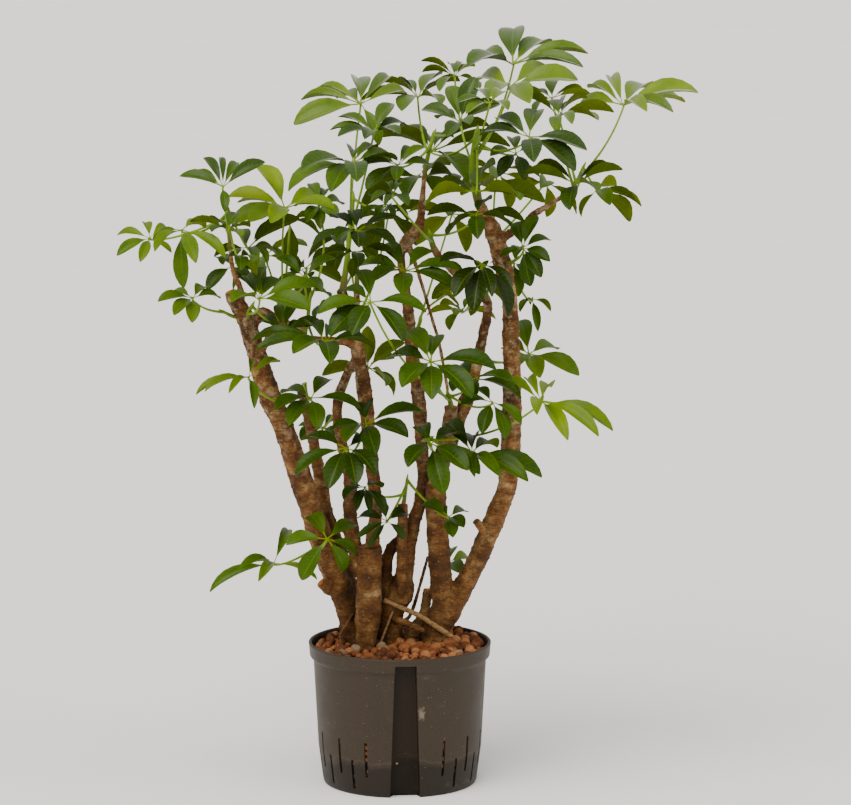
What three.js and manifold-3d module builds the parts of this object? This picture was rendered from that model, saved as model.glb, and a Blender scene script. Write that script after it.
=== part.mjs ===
// A potted umbrella plant: a dwarf schefflera with several woody stems, whorled leaves on long leaf
// stalks, and a dark plastic hydroculture pot filled with expanded-clay granules.
// Millimetres, +Z up. The origin is the middle of the pot's foot, the groove side of the pot faces -Y.
import * as THREE from "three";
import { mergeVertices } from "three/addons/utils/BufferGeometryUtils.js";
import Module from "manifold-3d";

const wasm = await Module();
wasm.setup();

// ---------------------------------------------------------------- driving dimensions

// The pot: radii, heights and wall.
const POT = {
  height: 172,
  footRadius: 92.5,
  waistRadius: 98.6,
  waistHeight: 46,
  shoulderRadius: 104.3,
  shoulderHeight: 152,
  bandRadius: 108.6,
  rimRadius: 110,
  wall: 2.3,
  floor: 3,
  sides: 32,
};

// The upright groove for a water gauge, at the front and a little to the right.
const GROOVE = {
  azimuth: 4.2,
  top: 164,
  halfWidthTop: 12.5,
  halfWidthFoot: 17.8,
  innerTop: 93.5,
  innerFoot: 78.5,
};

// The narrow upright slots: two rows that take turns round the foot.
const SLOT = { pitch: 11.25, first: 28.1, last: 174, width: 2.6, highRow: [24, 68], lowRow: [7.5, 44] };

// The clay granules: their level, how much higher the pebbles lie in the middle, and the surface's pebbles.
const CLAY = { level: 160, heap: 4, pebbles: 36, pebbleMin: 10.5, pebbleMax: 13, seed: 7 };

// Clearance between neighbouring pieces.
const GAP = 0.35;

// The viewpoint that the stems and leaves are laid out from: a long lens in front of the plant. Pixels are
// those of the 851 x 805 photograph, depth is the distance behind the pot's axis in millimetres.
const VIEW = {
  eye: new THREE.Vector3(31, -4886, 1235),
  pitch: 8.98,
  focal: 4135,
  middleX: 425.5,
  middleY: 402.5,
};

// Radius in millimetres of a stem one pixel wide.
const RADIUS_PER_PIXEL = 0.63;

// Leaves.
const LEAF = {
  hubRadius: 3.1,
  hubHalf: 0.8,
  stalkTop: 3,
  bladeHalf: 0.42,
  widthShare: 0.44,
  arch: 0.1,
  leastReach: 46,
  leastBlades: 5,
  leastTurn: 22,
  mostGap: 2.7,
  fillShare: 0.66,
  facing: [0.15, 0.8],
  facingRound: 1.15,
  facingFlat: 0.2,
  awayLeast: 0.35,
  awayRound: 0.75,
  smallReach: 76,
  stations: [
    [0.4, 0.8],
    [0.73, 1.0],
  ],
  smallStations: [[0.63, 1.0]],
};

// ---------------------------------------------------------------- colours

const COLOUR = {
  pot: 0x453e34,
  clay: 0x8a5136,
  bark: 0x6b4a2a,
  leaf: 0x4a7a1a,
};

// ---------------------------------------------------------------- woody stems
// Each limb is a list of stations: pixel x, pixel y, depth, width in pixels. A limb with root: true goes on
// straight down into the granules.

const WOOD = {
  trunk_left: [
    {
      root: true,
      path: [
        [352, 643, 30, 23], [349, 620, 28, 20], [344, 597, 22, 24], [323, 545, 0, 23], [303, 485, -11, 22],
        [283, 425, -15, 20], [270, 397, -17, 21], [254, 345, -21, 18], [245, 318, -23, 17], [234, 299, -24, 15],
        [230, 291, -25, 11],
      ],
    },
    {
      path: [
        [250, 328, -21, 13], [261, 314, -10, 12], [275, 319, 0, 11], [290, 326, 10, 10],
        [303, 331, 16, 7],
      ],
    },
    {
      path: [
        [240, 308, -23, 9], [241, 292, -27, 6.5], [237, 280, -29, 6], [232, 266, -31, 5],
        [230, 244, -33, 4.6],
      ],
    },
    { path: [[256, 352, -20, 8], [263, 348, -31, 7], [268, 338, -37, 6], [270, 329, -39, 5.5]] },
    { path: [[338, 590, 4, 15], [327, 587, -5, 13], [320, 582, -8, 9]] },
    {
      path: [
        [350, 610, 34, 22], [344, 575, 34, 22], [335, 545, 36, 18], [326, 512, 37, 14], [320, 478, 38, 12],
        [308, 415, 41, 10], [301, 390, 43, 8],
      ],
    },
  ],
  trunk_centre: [
    {
      root: true,
      path: [
        [366, 645, 1, 19], [367, 632, 0, 21], [368, 617, -1, 25], [369, 585, -2, 24], [370, 546, -4, 23],
      ],
    },
    {
      path: [
        [371, 575, 0, 14], [373, 535, 4, 14], [376, 502, 8, 12.5], [369, 440, 10, 13.5], [366, 405, 10, 14],
        [359, 358, 6, 14], [351, 320, 0, 11], [341, 289, -6, 9],
      ],
    },
    { path: [[352, 324, 0, 8], [356, 306, 4, 7], [357, 289, 6, 6]] },
    { path: [[358, 348, 4, 10], [345, 342, -8, 8.5], [325, 340, -16, 7], [302, 338, -20, 6]] },
    {
      path: [
        [366, 585, 4, 14], [354, 545, 14, 15], [350, 510, 18, 13.5], [350, 480, 22, 12], [337, 410, 30, 10],
        [352, 362, 36, 8],
      ],
    },
    { path: [[351, 534, 15, 4], [336, 526, 11, 3.2], [330, 508, 9, 3], [327, 474, 8, 3]] },
  ],
  trunk_middle: [
    {
      root: true,
      path: [
        [389, 642, 26, 25], [390, 622, 26, 24], [393, 606, 25, 25], [401, 590, 23, 26], [404, 573, 20, 18],
        [412, 530, 17, 14],
        [423, 485, 16, 12], [421, 435, 16, 13], [418, 390, 16, 13.5], [411, 345, 16, 13], [408, 308, 16, 11],
        [402, 268, 14, 8], [402, 251, 12, 9], [409, 239, 10, 13], [417, 230, 11, 11], [421, 216, 14, 8],
        [424, 178, 26, 5],
      ],
    },
    {
      path: [
        [409, 241, 10, 8], [411, 253, 9, 6], [418, 272, 6, 4], [434, 325, -2, 3.8], [440, 347, -6, 3.6],
        [448, 392, -9, 3.2],
      ],
    },
    { path: [[402, 603, 14, 12], [402, 560, 5, 11], [403, 504, 0, 10]] },
    {
      path: [
        [390, 604, 26, 17], [386, 578, 28, 13], [388, 556, 28, 12], [396, 544, 25, 11],
        [409, 534, 18, 10],
      ],
    },
    {
      path: [
        [394, 628, 28, 7], [406, 620, 31, 5], [412, 611, 32, 4], [420, 585, 34, 3.6],
        [428, 556, 36, 3.4],
      ],
    },
    { path: [[391, 618, 18, 6], [401, 621, 2, 7], [413, 626, -5, 6.5], [424, 631, -7, 5]] },
  ],
  trunk_right: [
    {
      root: true,
      path: [
        [433, 643, 14, 24], [434, 633, 14, 25], [440, 620, 14, 28], [447, 607, 12, 30], [443, 592, 11, 24],
        [441, 580, 9, 22], [436, 505, 3, 21], [438, 478, 1, 18], [447, 440, -1, 16], [452, 406, -4, 13],
      ],
    },
    {
      path: [
        [446, 456, 2, 13], [459, 420, 10, 13], [472, 382, 16, 12.5], [483, 335, 20, 10], [487, 301, 20, 9],
        [466, 285, 14, 6.5], [441, 259, 4, 7], [433, 247, 0, 7],
      ],
    },
    {
      path: [
        [445, 612, 13, 26], [454, 600, 12, 24], [463, 587, 10, 21], [474, 566, 7, 20], [497, 513, 2, 20],
        [507, 485, 0, 18.5],
        [511, 440, -4, 19], [512, 388, -8, 17.5], [511, 330, -8, 16], [508, 288, -8, 14], [502, 262, -8, 17],
        [494, 231, -8, 16], [486, 218, -8, 12], [479, 201, -8, 8],
      ],
    },
    { path: [[491, 236, -9, 12], [490, 226, -18, 12], [491, 221, -22, 10]] },
    {
      path: [
        [500, 240, -8, 10], [512, 232, -10, 8], [523, 226, -12, 7], [533, 215, -12, 7], [546, 207, -10, 5.5],
        [563, 196, -8, 4.6],
      ],
    },
    { path: [[488, 535, 3, 9], [480, 526, -7, 7.5], [476, 521, -11, 6.5]] },
  ],
  stub_cut: [
    {
      root: true,
      path: [
        [413, 643, 30, 16], [414, 633, 30, 16], [421, 620, 30, 12], [425, 611, 30, 10],
        [428, 589, 30, 9],
      ],
    },
  ],
  stick_fallen: [{
    path: [[384, 600, 9, 5], [400, 607, 4.6, 5], [420, 616, -1, 5], [440, 629, -6.2, 5], [453, 637, -8.7, 4]],
  }],
};

// ---------------------------------------------------------------- leafy shoots
// stem: stations as above, from inside the wood to the shoot's top. leaves: hub pixel x, y and depth, then
// the leaflet tips as pixels. back: the leaflets lie behind the hub, so the leaf faces the viewer; under: the
// leaf leans away, so its paler underside shows; slim: leaflets narrower by that factor; tilt: how far it
// leans towards the viewer, where its tips don't tell.

const SHOOTS = {
  shoot_left_top: {
    stem: [[230, 247, -33, 4], [228, 222, -35, 4], [225, 202, -36, 3]],
    leaves: [
      {
        hub: [223, 187, -40], slim: 0.8,
        tips: [[191, 166], [199, 159], [213, 158], [228, 160], [265, 162], [193, 173]],
      },
      {
        hub: [150, 238, -60], slim: 0.75,
        tips: [[117, 235], [117, 255], [144, 223], [166, 228], [140, 262]],
      },
      {
        hub: [182, 230, -110], slim: 0.7,
        tips: [[180, 288], [193, 264], [163, 252], [225, 258], [205, 228]],
      },
      {
        hub: [228, 230, -85], under: true,
        tips: [[190, 222], [208, 220], [236, 213], [212, 232], [240, 238], [250, 228]],
      },
      { hub: [238, 257, -75], under: true, tips: [[223, 264], [252, 262], [240, 272], [228, 250]] },
      { hub: [232, 266, -10], tips: [[207, 290], [248, 284], [218, 259], [250, 262]] },
      {
        hub: [248, 248, 20], under: true,
        tips: [[300, 219], [275, 256], [271, 266], [258, 267], [232, 232]],
      },
    ],
  },
  shoot_left_mid: {
    stem: [[244, 319, -23, 4], [232, 316, -33, 3.5], [224, 312, -39, 3]],
    leaves: [
      {
        hub: [193, 298, -70],
        tips: [[158, 302], [168, 295], [205, 287], [220, 298], [192, 323], [174, 315]],
      },
    ],
  },
  shoot_left_inner: {
    stem: [[288, 327, 8, 5], [285, 316, 8, 4.5], [284, 298, 8, 4]],
    leaves: [
      {
        hub: [285, 208, 15],
        tilt: 0.6,
        tips: [
          [250, 167], [228, 196], [241, 201], [318, 197], [232, 225], [248, 222], [271, 222], [335, 210],
        ],
      },
      {
        hub: [290, 219, 90], under: true,
        tips: [[255, 240], [317, 233], [262, 238], [290, 262], [322, 226]],
      },
    ],
  },
  shoot_left_front: {
    stem: [[249, 327, -21, 4.5], [248, 314, -36, 4], [252, 306, -42, 3.5]],
    leaves: [
      {
        hub: [259, 299, -110],
        tips: [[252, 275], [262, 268], [283, 281], [232, 303], [317, 287], [310, 310]],
      },
      {
        hub: [283, 330, -50],
        tips: [[278, 305], [296, 305], [262, 320], [323, 324], [305, 328], [272, 345]],
      },
    ],
  },
  shoot_centre_left: {
    stem: [[304, 338, -20, 5], [306, 328, -26, 4.5], [308, 316, -28, 4], [310, 298, -26, 3.5]],
    leaves: [
      {
        hub: [324, 342, -120],
        tips: [
          [252, 340], [256, 352], [293, 355], [330, 364], [360, 334], [365, 343], [308, 326], [338, 334],
        ],
      },
      { hub: [304, 277, -60], tips: [[335, 258], [277, 258], [284, 285], [310, 278], [322, 292]] },
      {
        hub: [319, 205, 20],
        tips: [[313, 184], [324, 190], [343, 204], [338, 219], [319, 229], [308, 222], [296, 206]],
      },
    ],
  },
  shoot_centre_top: {
    stem: [[342, 292, -6, 7], [345, 275, -6, 6], [348, 250, -4, 5], [351, 225, -2, 4.5], [353, 198, 0, 4]],
    leaves: [
      {
        hub: [361, 104, 50],
        slim: 0.85,
        tips: [[294, 125], [301, 99], [331, 101], [355, 78], [327, 85], [391, 78], [405, 92]],
      },
      {
        hub: [374, 132, -40],
        tips: [[330, 131], [338, 137], [338, 117], [365, 138], [392, 103], [404, 124], [400, 134]],
      },
      {
        hub: [352, 163, -95],
        tips: [[301, 169], [289, 192], [331, 192], [357, 181], [368, 153], [392, 159], [370, 148]],
      },
      {
        hub: [357, 231, -120],
        tips: [[312, 248], [336, 240], [330, 217], [352, 212], [402, 219], [359, 248], [396, 247]],
      },
      {
        hub: [385, 204, -50],
        tips: [[361, 221], [376, 221], [408, 222], [395, 220], [370, 197], [402, 196]],
      },
    ],
  },
  shoot_centre_knob: {
    stem: [[357, 292, 6, 5], [357, 275, 2, 4.5], [357, 262, 0, 4]],
    leaves: [
      {
        hub: [355, 252, -50], under: true,
        tips: [[323, 256], [341, 263], [359, 268], [383, 262], [395, 254]],
      },
      { hub: [333, 300, 70], under: true, tips: [[316, 318], [345, 322], [352, 306], [314, 292]] },
    ],
  },
  shoot_middle_top: {
    stem: [[424, 181, 26, 5], [426, 165, 28, 4.5], [430, 148, 30, 4], [434, 135, 30, 3.5]],
    leaves: [
      {
        hub: [418, 97, 100], under: true,
        tips: [[385, 85], [360, 102], [442, 75], [460, 82], [392, 80], [402, 112], [440, 105]],
      },
      {
        hub: [398, 165, -40],
        tips: [[362, 169], [368, 158], [428, 149], [412, 147], [430, 166], [396, 181], [363, 187]],
      },
      {
        hub: [423, 177, 75], under: true, tilt: -0.95,
        tips: [[361, 209], [370, 187], [408, 198], [432, 192], [450, 165], [455, 180]],
      },
      {
        hub: [460, 122, -55],
        tips: [[450, 86], [475, 77], [424, 107], [435, 120], [500, 104], [470, 125], [447, 137]],
      },
    ],
  },
  shoot_middle_knob: {
    stem: [[434, 249, 0, 6], [432, 243, -2, 6], [430, 235, -4, 4]],
    leaves: [
      { hub: [393, 196, -110], tips: [[399, 184], [388, 183], [372, 201], [384, 206], [408, 206]] },
      {
        hub: [476, 215, -70], under: true,
        tips: [[427, 216], [448, 235], [478, 245], [525, 223], [510, 227], [492, 200]],
      },
    ],
  },
  shoot_middle_low: {
    stem: [[406, 291, 15, 5], [405, 284, 3, 4.5], [405, 279, -8, 4]],
    leaves: [
      {
        hub: [405, 271, -90],
        tips: [[382, 245], [358, 267], [372, 282], [403, 296], [435, 252], [461, 272], [455, 290]],
      },
    ],
  },
  shoot_right_top: {
    stem: [[479, 205, -8, 8], [476, 190, -8, 9], [473, 170, -6, 8], [474, 150, -4, 6], [477, 132, -2, 5]],
    leaves: [
      {
        hub: [455, 76, 110], under: true,
        tips: [[422, 63], [420, 70], [448, 65], [462, 63], [475, 66], [480, 88], [440, 92]],
      },
      { hub: [513, 64, 60], tips: [[514, 29], [475, 62], [468, 66], [550, 44], [588, 53], [583, 68]] },
      { hub: [511, 86, -10], tilt: 0.8, tips: [[478, 80], [552, 70], [578, 80], [488, 98], [530, 104]] },
      { hub: [490, 103, -95], tips: [[460, 105], [462, 112], [508, 109], [476, 90], [504, 92]] },
      {
        hub: [529, 137, -100],
        tips: [[496, 118], [537, 110], [480, 135], [534, 162], [578, 168], [585, 155]],
      },
      { hub: [516, 153, -20], tips: [[491, 157], [512, 138], [540, 150], [525, 180], [498, 176]] },
      {
        hub: [432, 151, 5], under: true, tilt: -0.9,
        tips: [[375, 138], [400, 129], [435, 137], [450, 138], [490, 125], [510, 148], [466, 181]],
      },
      {
        hub: [476, 192, -60], under: true, tilt: -1.15,
        tips: [[425, 204], [440, 189], [495, 165], [520, 200], [545, 203], [492, 188]],
      },
    ],
  },
  shoot_right_branch: {
    stem: [[560, 198, -8, 4], [568, 192, -10, 4], [576, 183, -10, 3.5], [583, 168, -8, 3]],
    leaves: [
      { hub: [552, 98, 95], under: true, tips: [[555, 80], [583, 90], [592, 97], [527, 92], [535, 112]] },
      {
        hub: [559, 116, -40], under: true,
        tips: [[560, 100], [587, 98], [614, 113], [598, 120], [558, 133], [572, 124], [512, 93]],
      },
      {
        hub: [623, 105, 0],
        tips: [[592, 84], [588, 88], [650, 88], [698, 93], [685, 103], [648, 112], [672, 113], [588, 102]],
      },
      {
        hub: [576, 184, -75], under: true,
        tips: [[610, 164], [622, 173], [535, 163], [524, 178], [574, 219], [597, 192]],
      },
      {
        hub: [597, 190, 20], under: true,
        tips: [[624, 176], [637, 203], [631, 220], [640, 214], [610, 205]],
      },
    ],
  },
  shoot_right_low: {
    stem: [[504, 263, -10, 4], [512, 262, -26, 3.5], [518, 258, -34, 3]],
    leaves: [
      {
        hub: [523, 248, -55],
        tips: [[517, 222], [538, 216], [550, 240], [546, 264], [541, 277], [535, 285]],
      },
    ],
  },
  shoot_right_back: {
    stem: [[505, 274, -6, 4], [507, 270, 12, 3.5], [510, 266, 18, 3]],
    leaves: [
      { hub: [514, 263, 45], tips: [[529, 280], [521, 296], [498, 285], [520, 246]] },
      { hub: [532, 299, 80], slim: 0.6, tips: [[540, 331], [548, 312], [520, 312]] },
    ],
  },
  shoot_inner_right: {
    stem: [[487, 304, 20, 5], [486, 290, 10, 4.5], [484, 278, 0, 4]],
    leaves: [
      {
        hub: [482, 264, -75],
        tips: [[457, 297], [471, 311], [489, 297], [504, 318], [508, 292], [452, 266]],
      },
      {
        hub: [462, 311, 75], under: true,
        tips: [[441, 296], [436, 303], [427, 316], [452, 317], [453, 333], [478, 300], [496, 319]],
      },
    ],
  },
  shoot_front_right: {
    stem: [[452, 410, -4, 6], [450, 401, -18, 5], [448, 394, -24, 4]],
    leaves: [
      {
        hub: [431, 362, -130],
        tips: [[407, 331], [434, 337], [388, 360], [432, 400], [496, 369], [472, 398], [402, 388]],
      },
      {
        hub: [371, 302, -150],
        tips: [[320, 317], [327, 333], [352, 335], [403, 342], [360, 270], [426, 312], [340, 292]],
      },
      { hub: [472, 379, -60], tips: [[521, 399], [512, 382], [455, 392], [470, 404], [458, 366]] },
      { hub: [492, 402, -105], tips: [[461, 405], [482, 433], [508, 438], [519, 425], [476, 390]] },
    ],
  },
  shoot_right_mid: {
    stem: [[477, 362, 18, 4], [484, 362, 28, 3.5], [492, 362, 34, 3]],
    leaves: [
      {
        hub: [529, 354, 60],
        tips: [[520, 320], [557, 350], [540, 378], [579, 376], [505, 350], [512, 370]],
      },
    ],
  },
  shoot_middle_front: {
    stem: [[422, 441, 14, 5], [425, 440, -2, 4.5], [430, 438, -10, 4]],
    leaves: [
      {
        hub: [541, 401, -60], slim: 0.55,
        tips: [[527, 381], [549, 388], [505, 384], [538, 415], [611, 434], [601, 435], [567, 441]],
      },
      {
        hub: [431, 444, -115],
        tips: [[408, 467], [444, 494], [475, 480], [475, 465], [460, 436], [420, 428]],
      },
      {
        hub: [472, 453, -60],
        slim: 0.7,
        tips: [[450, 422], [474, 438], [497, 448], [538, 485], [508, 473], [522, 487], [484, 474]],
      },
    ],
  },
  shoot_centre_front: {
    stem: [[369, 441, 10, 5], [362, 438, -8, 4.5], [357, 434, -16, 4]],
    leaves: [
      {
        hub: [346, 448, -115],
        tips: [[301, 441], [296, 476], [329, 489], [358, 485], [374, 475], [375, 445]],
      },
      {
        hub: [366, 424, -55],
        tips: [[346, 443], [376, 455], [424, 413], [408, 438], [366, 402]],
      },
    ],
  },
  shoot_left_fork: {
    stem: [[302, 394, 43, 5], [303, 386, 32, 4.5], [305, 384, 22, 4]],
    leaves: [{
      hub: [311, 398, -40],
      tips: [[360, 410], [282, 393], [278, 412], [285, 424], [330, 380], [318, 430]],
    }],
  },
  shoot_centre_back: {
    stem: [[351, 365, 36, 5], [354, 357, 46, 4.5], [358, 352, 54, 4]],
    leaves: [
      {
        hub: [368, 368, 115], under: true, tilt: -1.3,
        tips: [[367, 330], [404, 341], [322, 375], [345, 383], [395, 358], [378, 395], [394, 392]],
      },
      { hub: [322, 428, 120], tips: [[300, 440], [340, 420], [318, 412], [342, 440]] },
    ],
  },
  shoot_stem_cut: {
    stem: [[403, 507, 0, 5], [405, 495, -6, 4], [407, 480, -10, 3]],
    leaves: [
      { hub: [365, 487, -60], tips: [[358, 510], [364, 513], [385, 514], [348, 500], [382, 488]] },
      { hub: [387, 521, -45], tips: [[406, 513], [358, 518], [358, 540], [366, 547], [378, 506]] },
      { hub: [449, 517, -45], tips: [[428, 500], [435, 514], [454, 538], [463, 528], [466, 512]] },
    ],
  },
  shoot_low_left: {
    stem: [[321, 556, 0, 5], [316, 551, -20, 4], [314, 549, -27, 3.5]],
    leaves: [
      {
        hub: [327, 539, -60],
        back: true,
        tips: [[310, 515], [286, 544], [302, 580], [338, 570], [355, 557], [354, 525]],
      },
      { hub: [274, 563, -50], slim: 0.45, tips: [[210, 592], [257, 581], [288, 530], [240, 570]] },
    ],
  },
  shoot_far_left: {
    stem: [[272, 402, -17, 4], [280, 404, -34, 3.5], [284, 402, -40, 3]],
    leaves: [{
      hub: [249, 377, -50], slim: 0.45,
      tips: [[197, 396], [203, 390], [229, 393], [280, 362], [252, 362], [254, 409]],
    }],
  },
  shoot_low_right: {
    stem: [[441, 562, 7, 4], [443, 558, 22, 3.5], [446, 556, 30, 3]],
    leaves: [{ hub: [449, 562, 55], tips: [[452, 548], [470, 560], [463, 574], [436, 556]] }],
  },
};

// Leaves at the back of the crown, where the photograph can't see them: hub pixel and depth, lean of the
// leaf's axis away from the stem in degrees, number of leaflets and their length.
const HIDDEN = {
  shoot_back_left: {
    stem: [[276, 320, 1, 5], [278, 311, 22, 4.5], [280, 298, 36, 4]],
    leaves: [
      { hub: [264, 256, 130], lean: 35, blades: 5, reach: 66 },
      { hub: [306, 268, 170], lean: 45, blades: 5, reach: 62 },
    ],
  },
  shoot_back_centre: {
    stem: [[357, 342, 4, 5], [358, 330, 26, 4.5], [360, 312, 42, 4]],
    leaves: [
      { hub: [346, 236, 150], lean: 30, blades: 5, reach: 64 },
      { hub: [388, 214, 190], lean: 40, blades: 5, reach: 68 },
    ],
  },
  shoot_back_middle: {
    stem: [[411, 346, 16, 5], [415, 336, 38, 4.5], [420, 322, 52, 4]],
    leaves: [
      { hub: [452, 214, 170], lean: 38, blades: 5, reach: 66 },
      { hub: [470, 280, 140], lean: 55, blades: 5, reach: 56 },
    ],
  },
  shoot_back_right: {
    stem: [[502, 262, -8, 5], [500, 250, 14, 4.5], [499, 236, 28, 4]],
    leaves: [
      { hub: [498, 172, 150], lean: 35, blades: 5, reach: 66 },
      { hub: [546, 182, 110], lean: 45, blades: 5, reach: 60 },
    ],
  },
};

// ---------------------------------------------------------------- solids

function solidOf(geometry) {
  const bare = geometry.index ? geometry.toNonIndexed() : geometry.clone();
  bare.deleteAttribute("normal");
  bare.deleteAttribute("uv");
  const merged = mergeVertices(bare, 1e-4);
  const mesh = new wasm.Mesh({
    numProp: 3,
    vertProperties: new Float32Array(merged.attributes.position.array),
    triVerts: new Uint32Array(merged.index.array),
  });
  return new wasm.Manifold(mesh);
}

function geometryOf(solid) {
  const mesh = solid.getMesh();
  const count = mesh.vertProperties.length / mesh.numProp;
  const positions = new Float32Array(count * 3);
  for (let i = 0; i < count; i++) {
    for (let k = 0; k < 3; k++) {
      positions[i * 3 + k] = mesh.vertProperties[i * mesh.numProp + k];
    }
  }
  const geometry = new THREE.BufferGeometry();
  geometry.setAttribute("position", new THREE.BufferAttribute(positions, 3));
  geometry.setIndex(new THREE.BufferAttribute(new Uint32Array(mesh.triVerts), 1));
  geometry.computeVertexNormals();
  return geometry;
}

// The largest body of a solid.
function largest(solid) {
  const bodies = solid.decompose();
  bodies.sort((a, b) => b.volume() - a.volume());
  return bodies[0];
}

// A closed surface from a list of points and triangles.
function shell(points, triangles) {
  const geometry = new THREE.BufferGeometry();
  const numbers = points.flatMap((p) => [p.x, p.y, p.z]);
  geometry.setAttribute("position", new THREE.Float32BufferAttribute(numbers, 3));
  geometry.setIndex(triangles.flat());
  return geometry;
}

function boxOf(solid) {
  const box = solid.boundingBox();
  return new THREE.Box3(new THREE.Vector3(...box.min), new THREE.Vector3(...box.max));
}

function crosses(solid, box, pieces) {
  return pieces.some((piece) => {
    if (!box.intersectsBox(piece.box)) {
      return false;
    }
    const common = solid.intersect(piece.solid);
    const crossing = common.volume() > 1e-4;
    common.delete();
    return crossing;
  });
}

// ---------------------------------------------------------------- the pixel grid in space

function viewRay(px, py) {
  const pitch = THREE.MathUtils.degToRad(VIEW.pitch);
  const across = (px - VIEW.middleX) / VIEW.focal;
  const up = (VIEW.middleY - py) / VIEW.focal;
  return new THREE.Vector3(
    across,
    Math.cos(pitch) + up * Math.sin(pitch),
    up * Math.cos(pitch) - Math.sin(pitch),
  ).normalize();
}

function seen(px, py, depth) {
  const ray = viewRay(px, py);
  return VIEW.eye.clone().addScaledVector(ray, (depth - VIEW.eye.y) / ray.y);
}

// ---------------------------------------------------------------- tubes of stems

// Rings of corners round the stations [point, radius], each carried on from the last, closed at both ends.
function tube(stations, sides) {
  const points = [];
  const triangles = [];
  let side = new THREE.Vector3(0, -1, 0);
  stations.forEach(([point, radius], i) => {
    const before = stations[Math.max(i - 1, 0)][0];
    const after = stations[Math.min(i + 1, stations.length - 1)][0];
    const along = after.clone().sub(before).normalize();
    side = side.clone().addScaledVector(along, -side.dot(along));
    if (side.lengthSq() < 1e-6) {
      side.set(1, 0, 0).addScaledVector(along, -along.x);
    }
    side.normalize();
    const other = along.clone().cross(side);
    for (let k = 0; k < sides; k++) {
      const turn = (2 * Math.PI * k) / sides;
      const corner = point.clone().addScaledVector(side, radius * Math.cos(turn));
      points.push(corner.addScaledVector(other, radius * Math.sin(turn)));
    }
  });
  for (let i = 0; i + 1 < stations.length; i++) {
    for (let k = 0; k < sides; k++) {
      const a = i * sides + k;
      const b = i * sides + ((k + 1) % sides);
      triangles.push([a, b, b + sides], [a, b + sides, a + sides]);
    }
  }
  const end = (stations.length - 1) * sides;
  for (let k = 1; k + 1 < sides; k++) {
    triangles.push([0, k + 1, k], [end, end + k, end + k + 1]);
  }
  return solidOf(shell(points, triangles));
}

function stationsOf(path, swell) {
  return path.map(([px, py, depth, width]) => [seen(px, py, depth), width * RADIUS_PER_PIXEL + swell]);
}

// A limb of wood, with its root going straight down into the granules.
function limbSolid(limb, swell) {
  const stations = stationsOf(limb.path, swell);
  if (limb.root) {
    const [foot, radius] = stations[0];
    const low = new THREE.Vector3(foot.x, foot.y, CLAY.level - 60);
    const level = new THREE.Vector3(foot.x, foot.y, CLAY.level - 8);
    stations.splice(0, 1, [low, radius * 0.8], [level, radius], [foot.clone(), radius]);
  }
  const [point, radius] = stations.at(-1);
  const along = point.clone().sub(stations.at(-2)[0]).normalize();
  if (swell > 0) {
    stations.push([point.clone().addScaledVector(along, swell), radius]);
  }
  const widest = Math.max(...limb.path.map((station) => station[3]));
  return tube(stations, widest > 16 ? 7 : widest > 9 ? 5 : 4);
}

// ---------------------------------------------------------------- leaves

const UP = new THREE.Vector3(0, 0, 1);

// Directions across a leaf's axis: towards the viewer, and to the side.
function acrossAxis(axis) {
  const front = new THREE.Vector3(0, -1, 0);
  front.addScaledVector(axis, -front.dot(axis)).normalize();
  return { front, side: axis.clone().cross(front) };
}

// Keeps the leaflets' turns round the axis apart from each other.
function spread(blades) {
  const least = Math.min(THREE.MathUtils.degToRad(LEAF.leastTurn), 5.6 / blades.length);
  blades.sort((a, b) => a.turn - b.turn);
  for (let round = 0; round < 40; round++) {
    for (let i = 0; i < blades.length; i++) {
      const a = blades[i];
      const b = blades[(i + 1) % blades.length];
      const gap = b.turn - a.turn + (i + 1 === blades.length ? 2 * Math.PI : 0);
      if (gap < least) {
        a.turn -= (least - gap) / 2;
        b.turn += (least - gap) / 2;
      }
    }
  }
}

// The widest gap between leaflets, as the leaflet before it and its width.
function widestGap(blades) {
  let found = { after: 0, gap: 0 };
  blades.forEach((blade, i) => {
    const next = i + 1 < blades.length ? blades[i + 1].turn : blades[0].turn + 2 * Math.PI;
    if (next - blade.turn > found.gap) {
      found = { after: i, gap: next - blade.turn };
    }
  });
  return found;
}

// How far a leaf leans towards the viewer, or away where its underside shows: the rounder the outline that
// its tips make, the further.
function leanOf(leaf) {
  if (leaf.tilt !== undefined) {
    return leaf.tilt;
  }
  const across = leaf.tips.map(([px]) => px - leaf.hub[0]);
  const down = leaf.tips.map(([, py]) => py - leaf.hub[1]);
  const wide = Math.max(...across, 0) - Math.min(...across, 0);
  const tall = Math.max(...down, 0) - Math.min(...down, 0);
  if (leaf.under) {
    return -LEAF.awayLeast - (LEAF.awayRound * tall) / wide;
  }
  return THREE.MathUtils.clamp((LEAF.facingRound * tall) / wide - LEAF.facingFlat, ...LEAF.facing);
}

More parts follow.
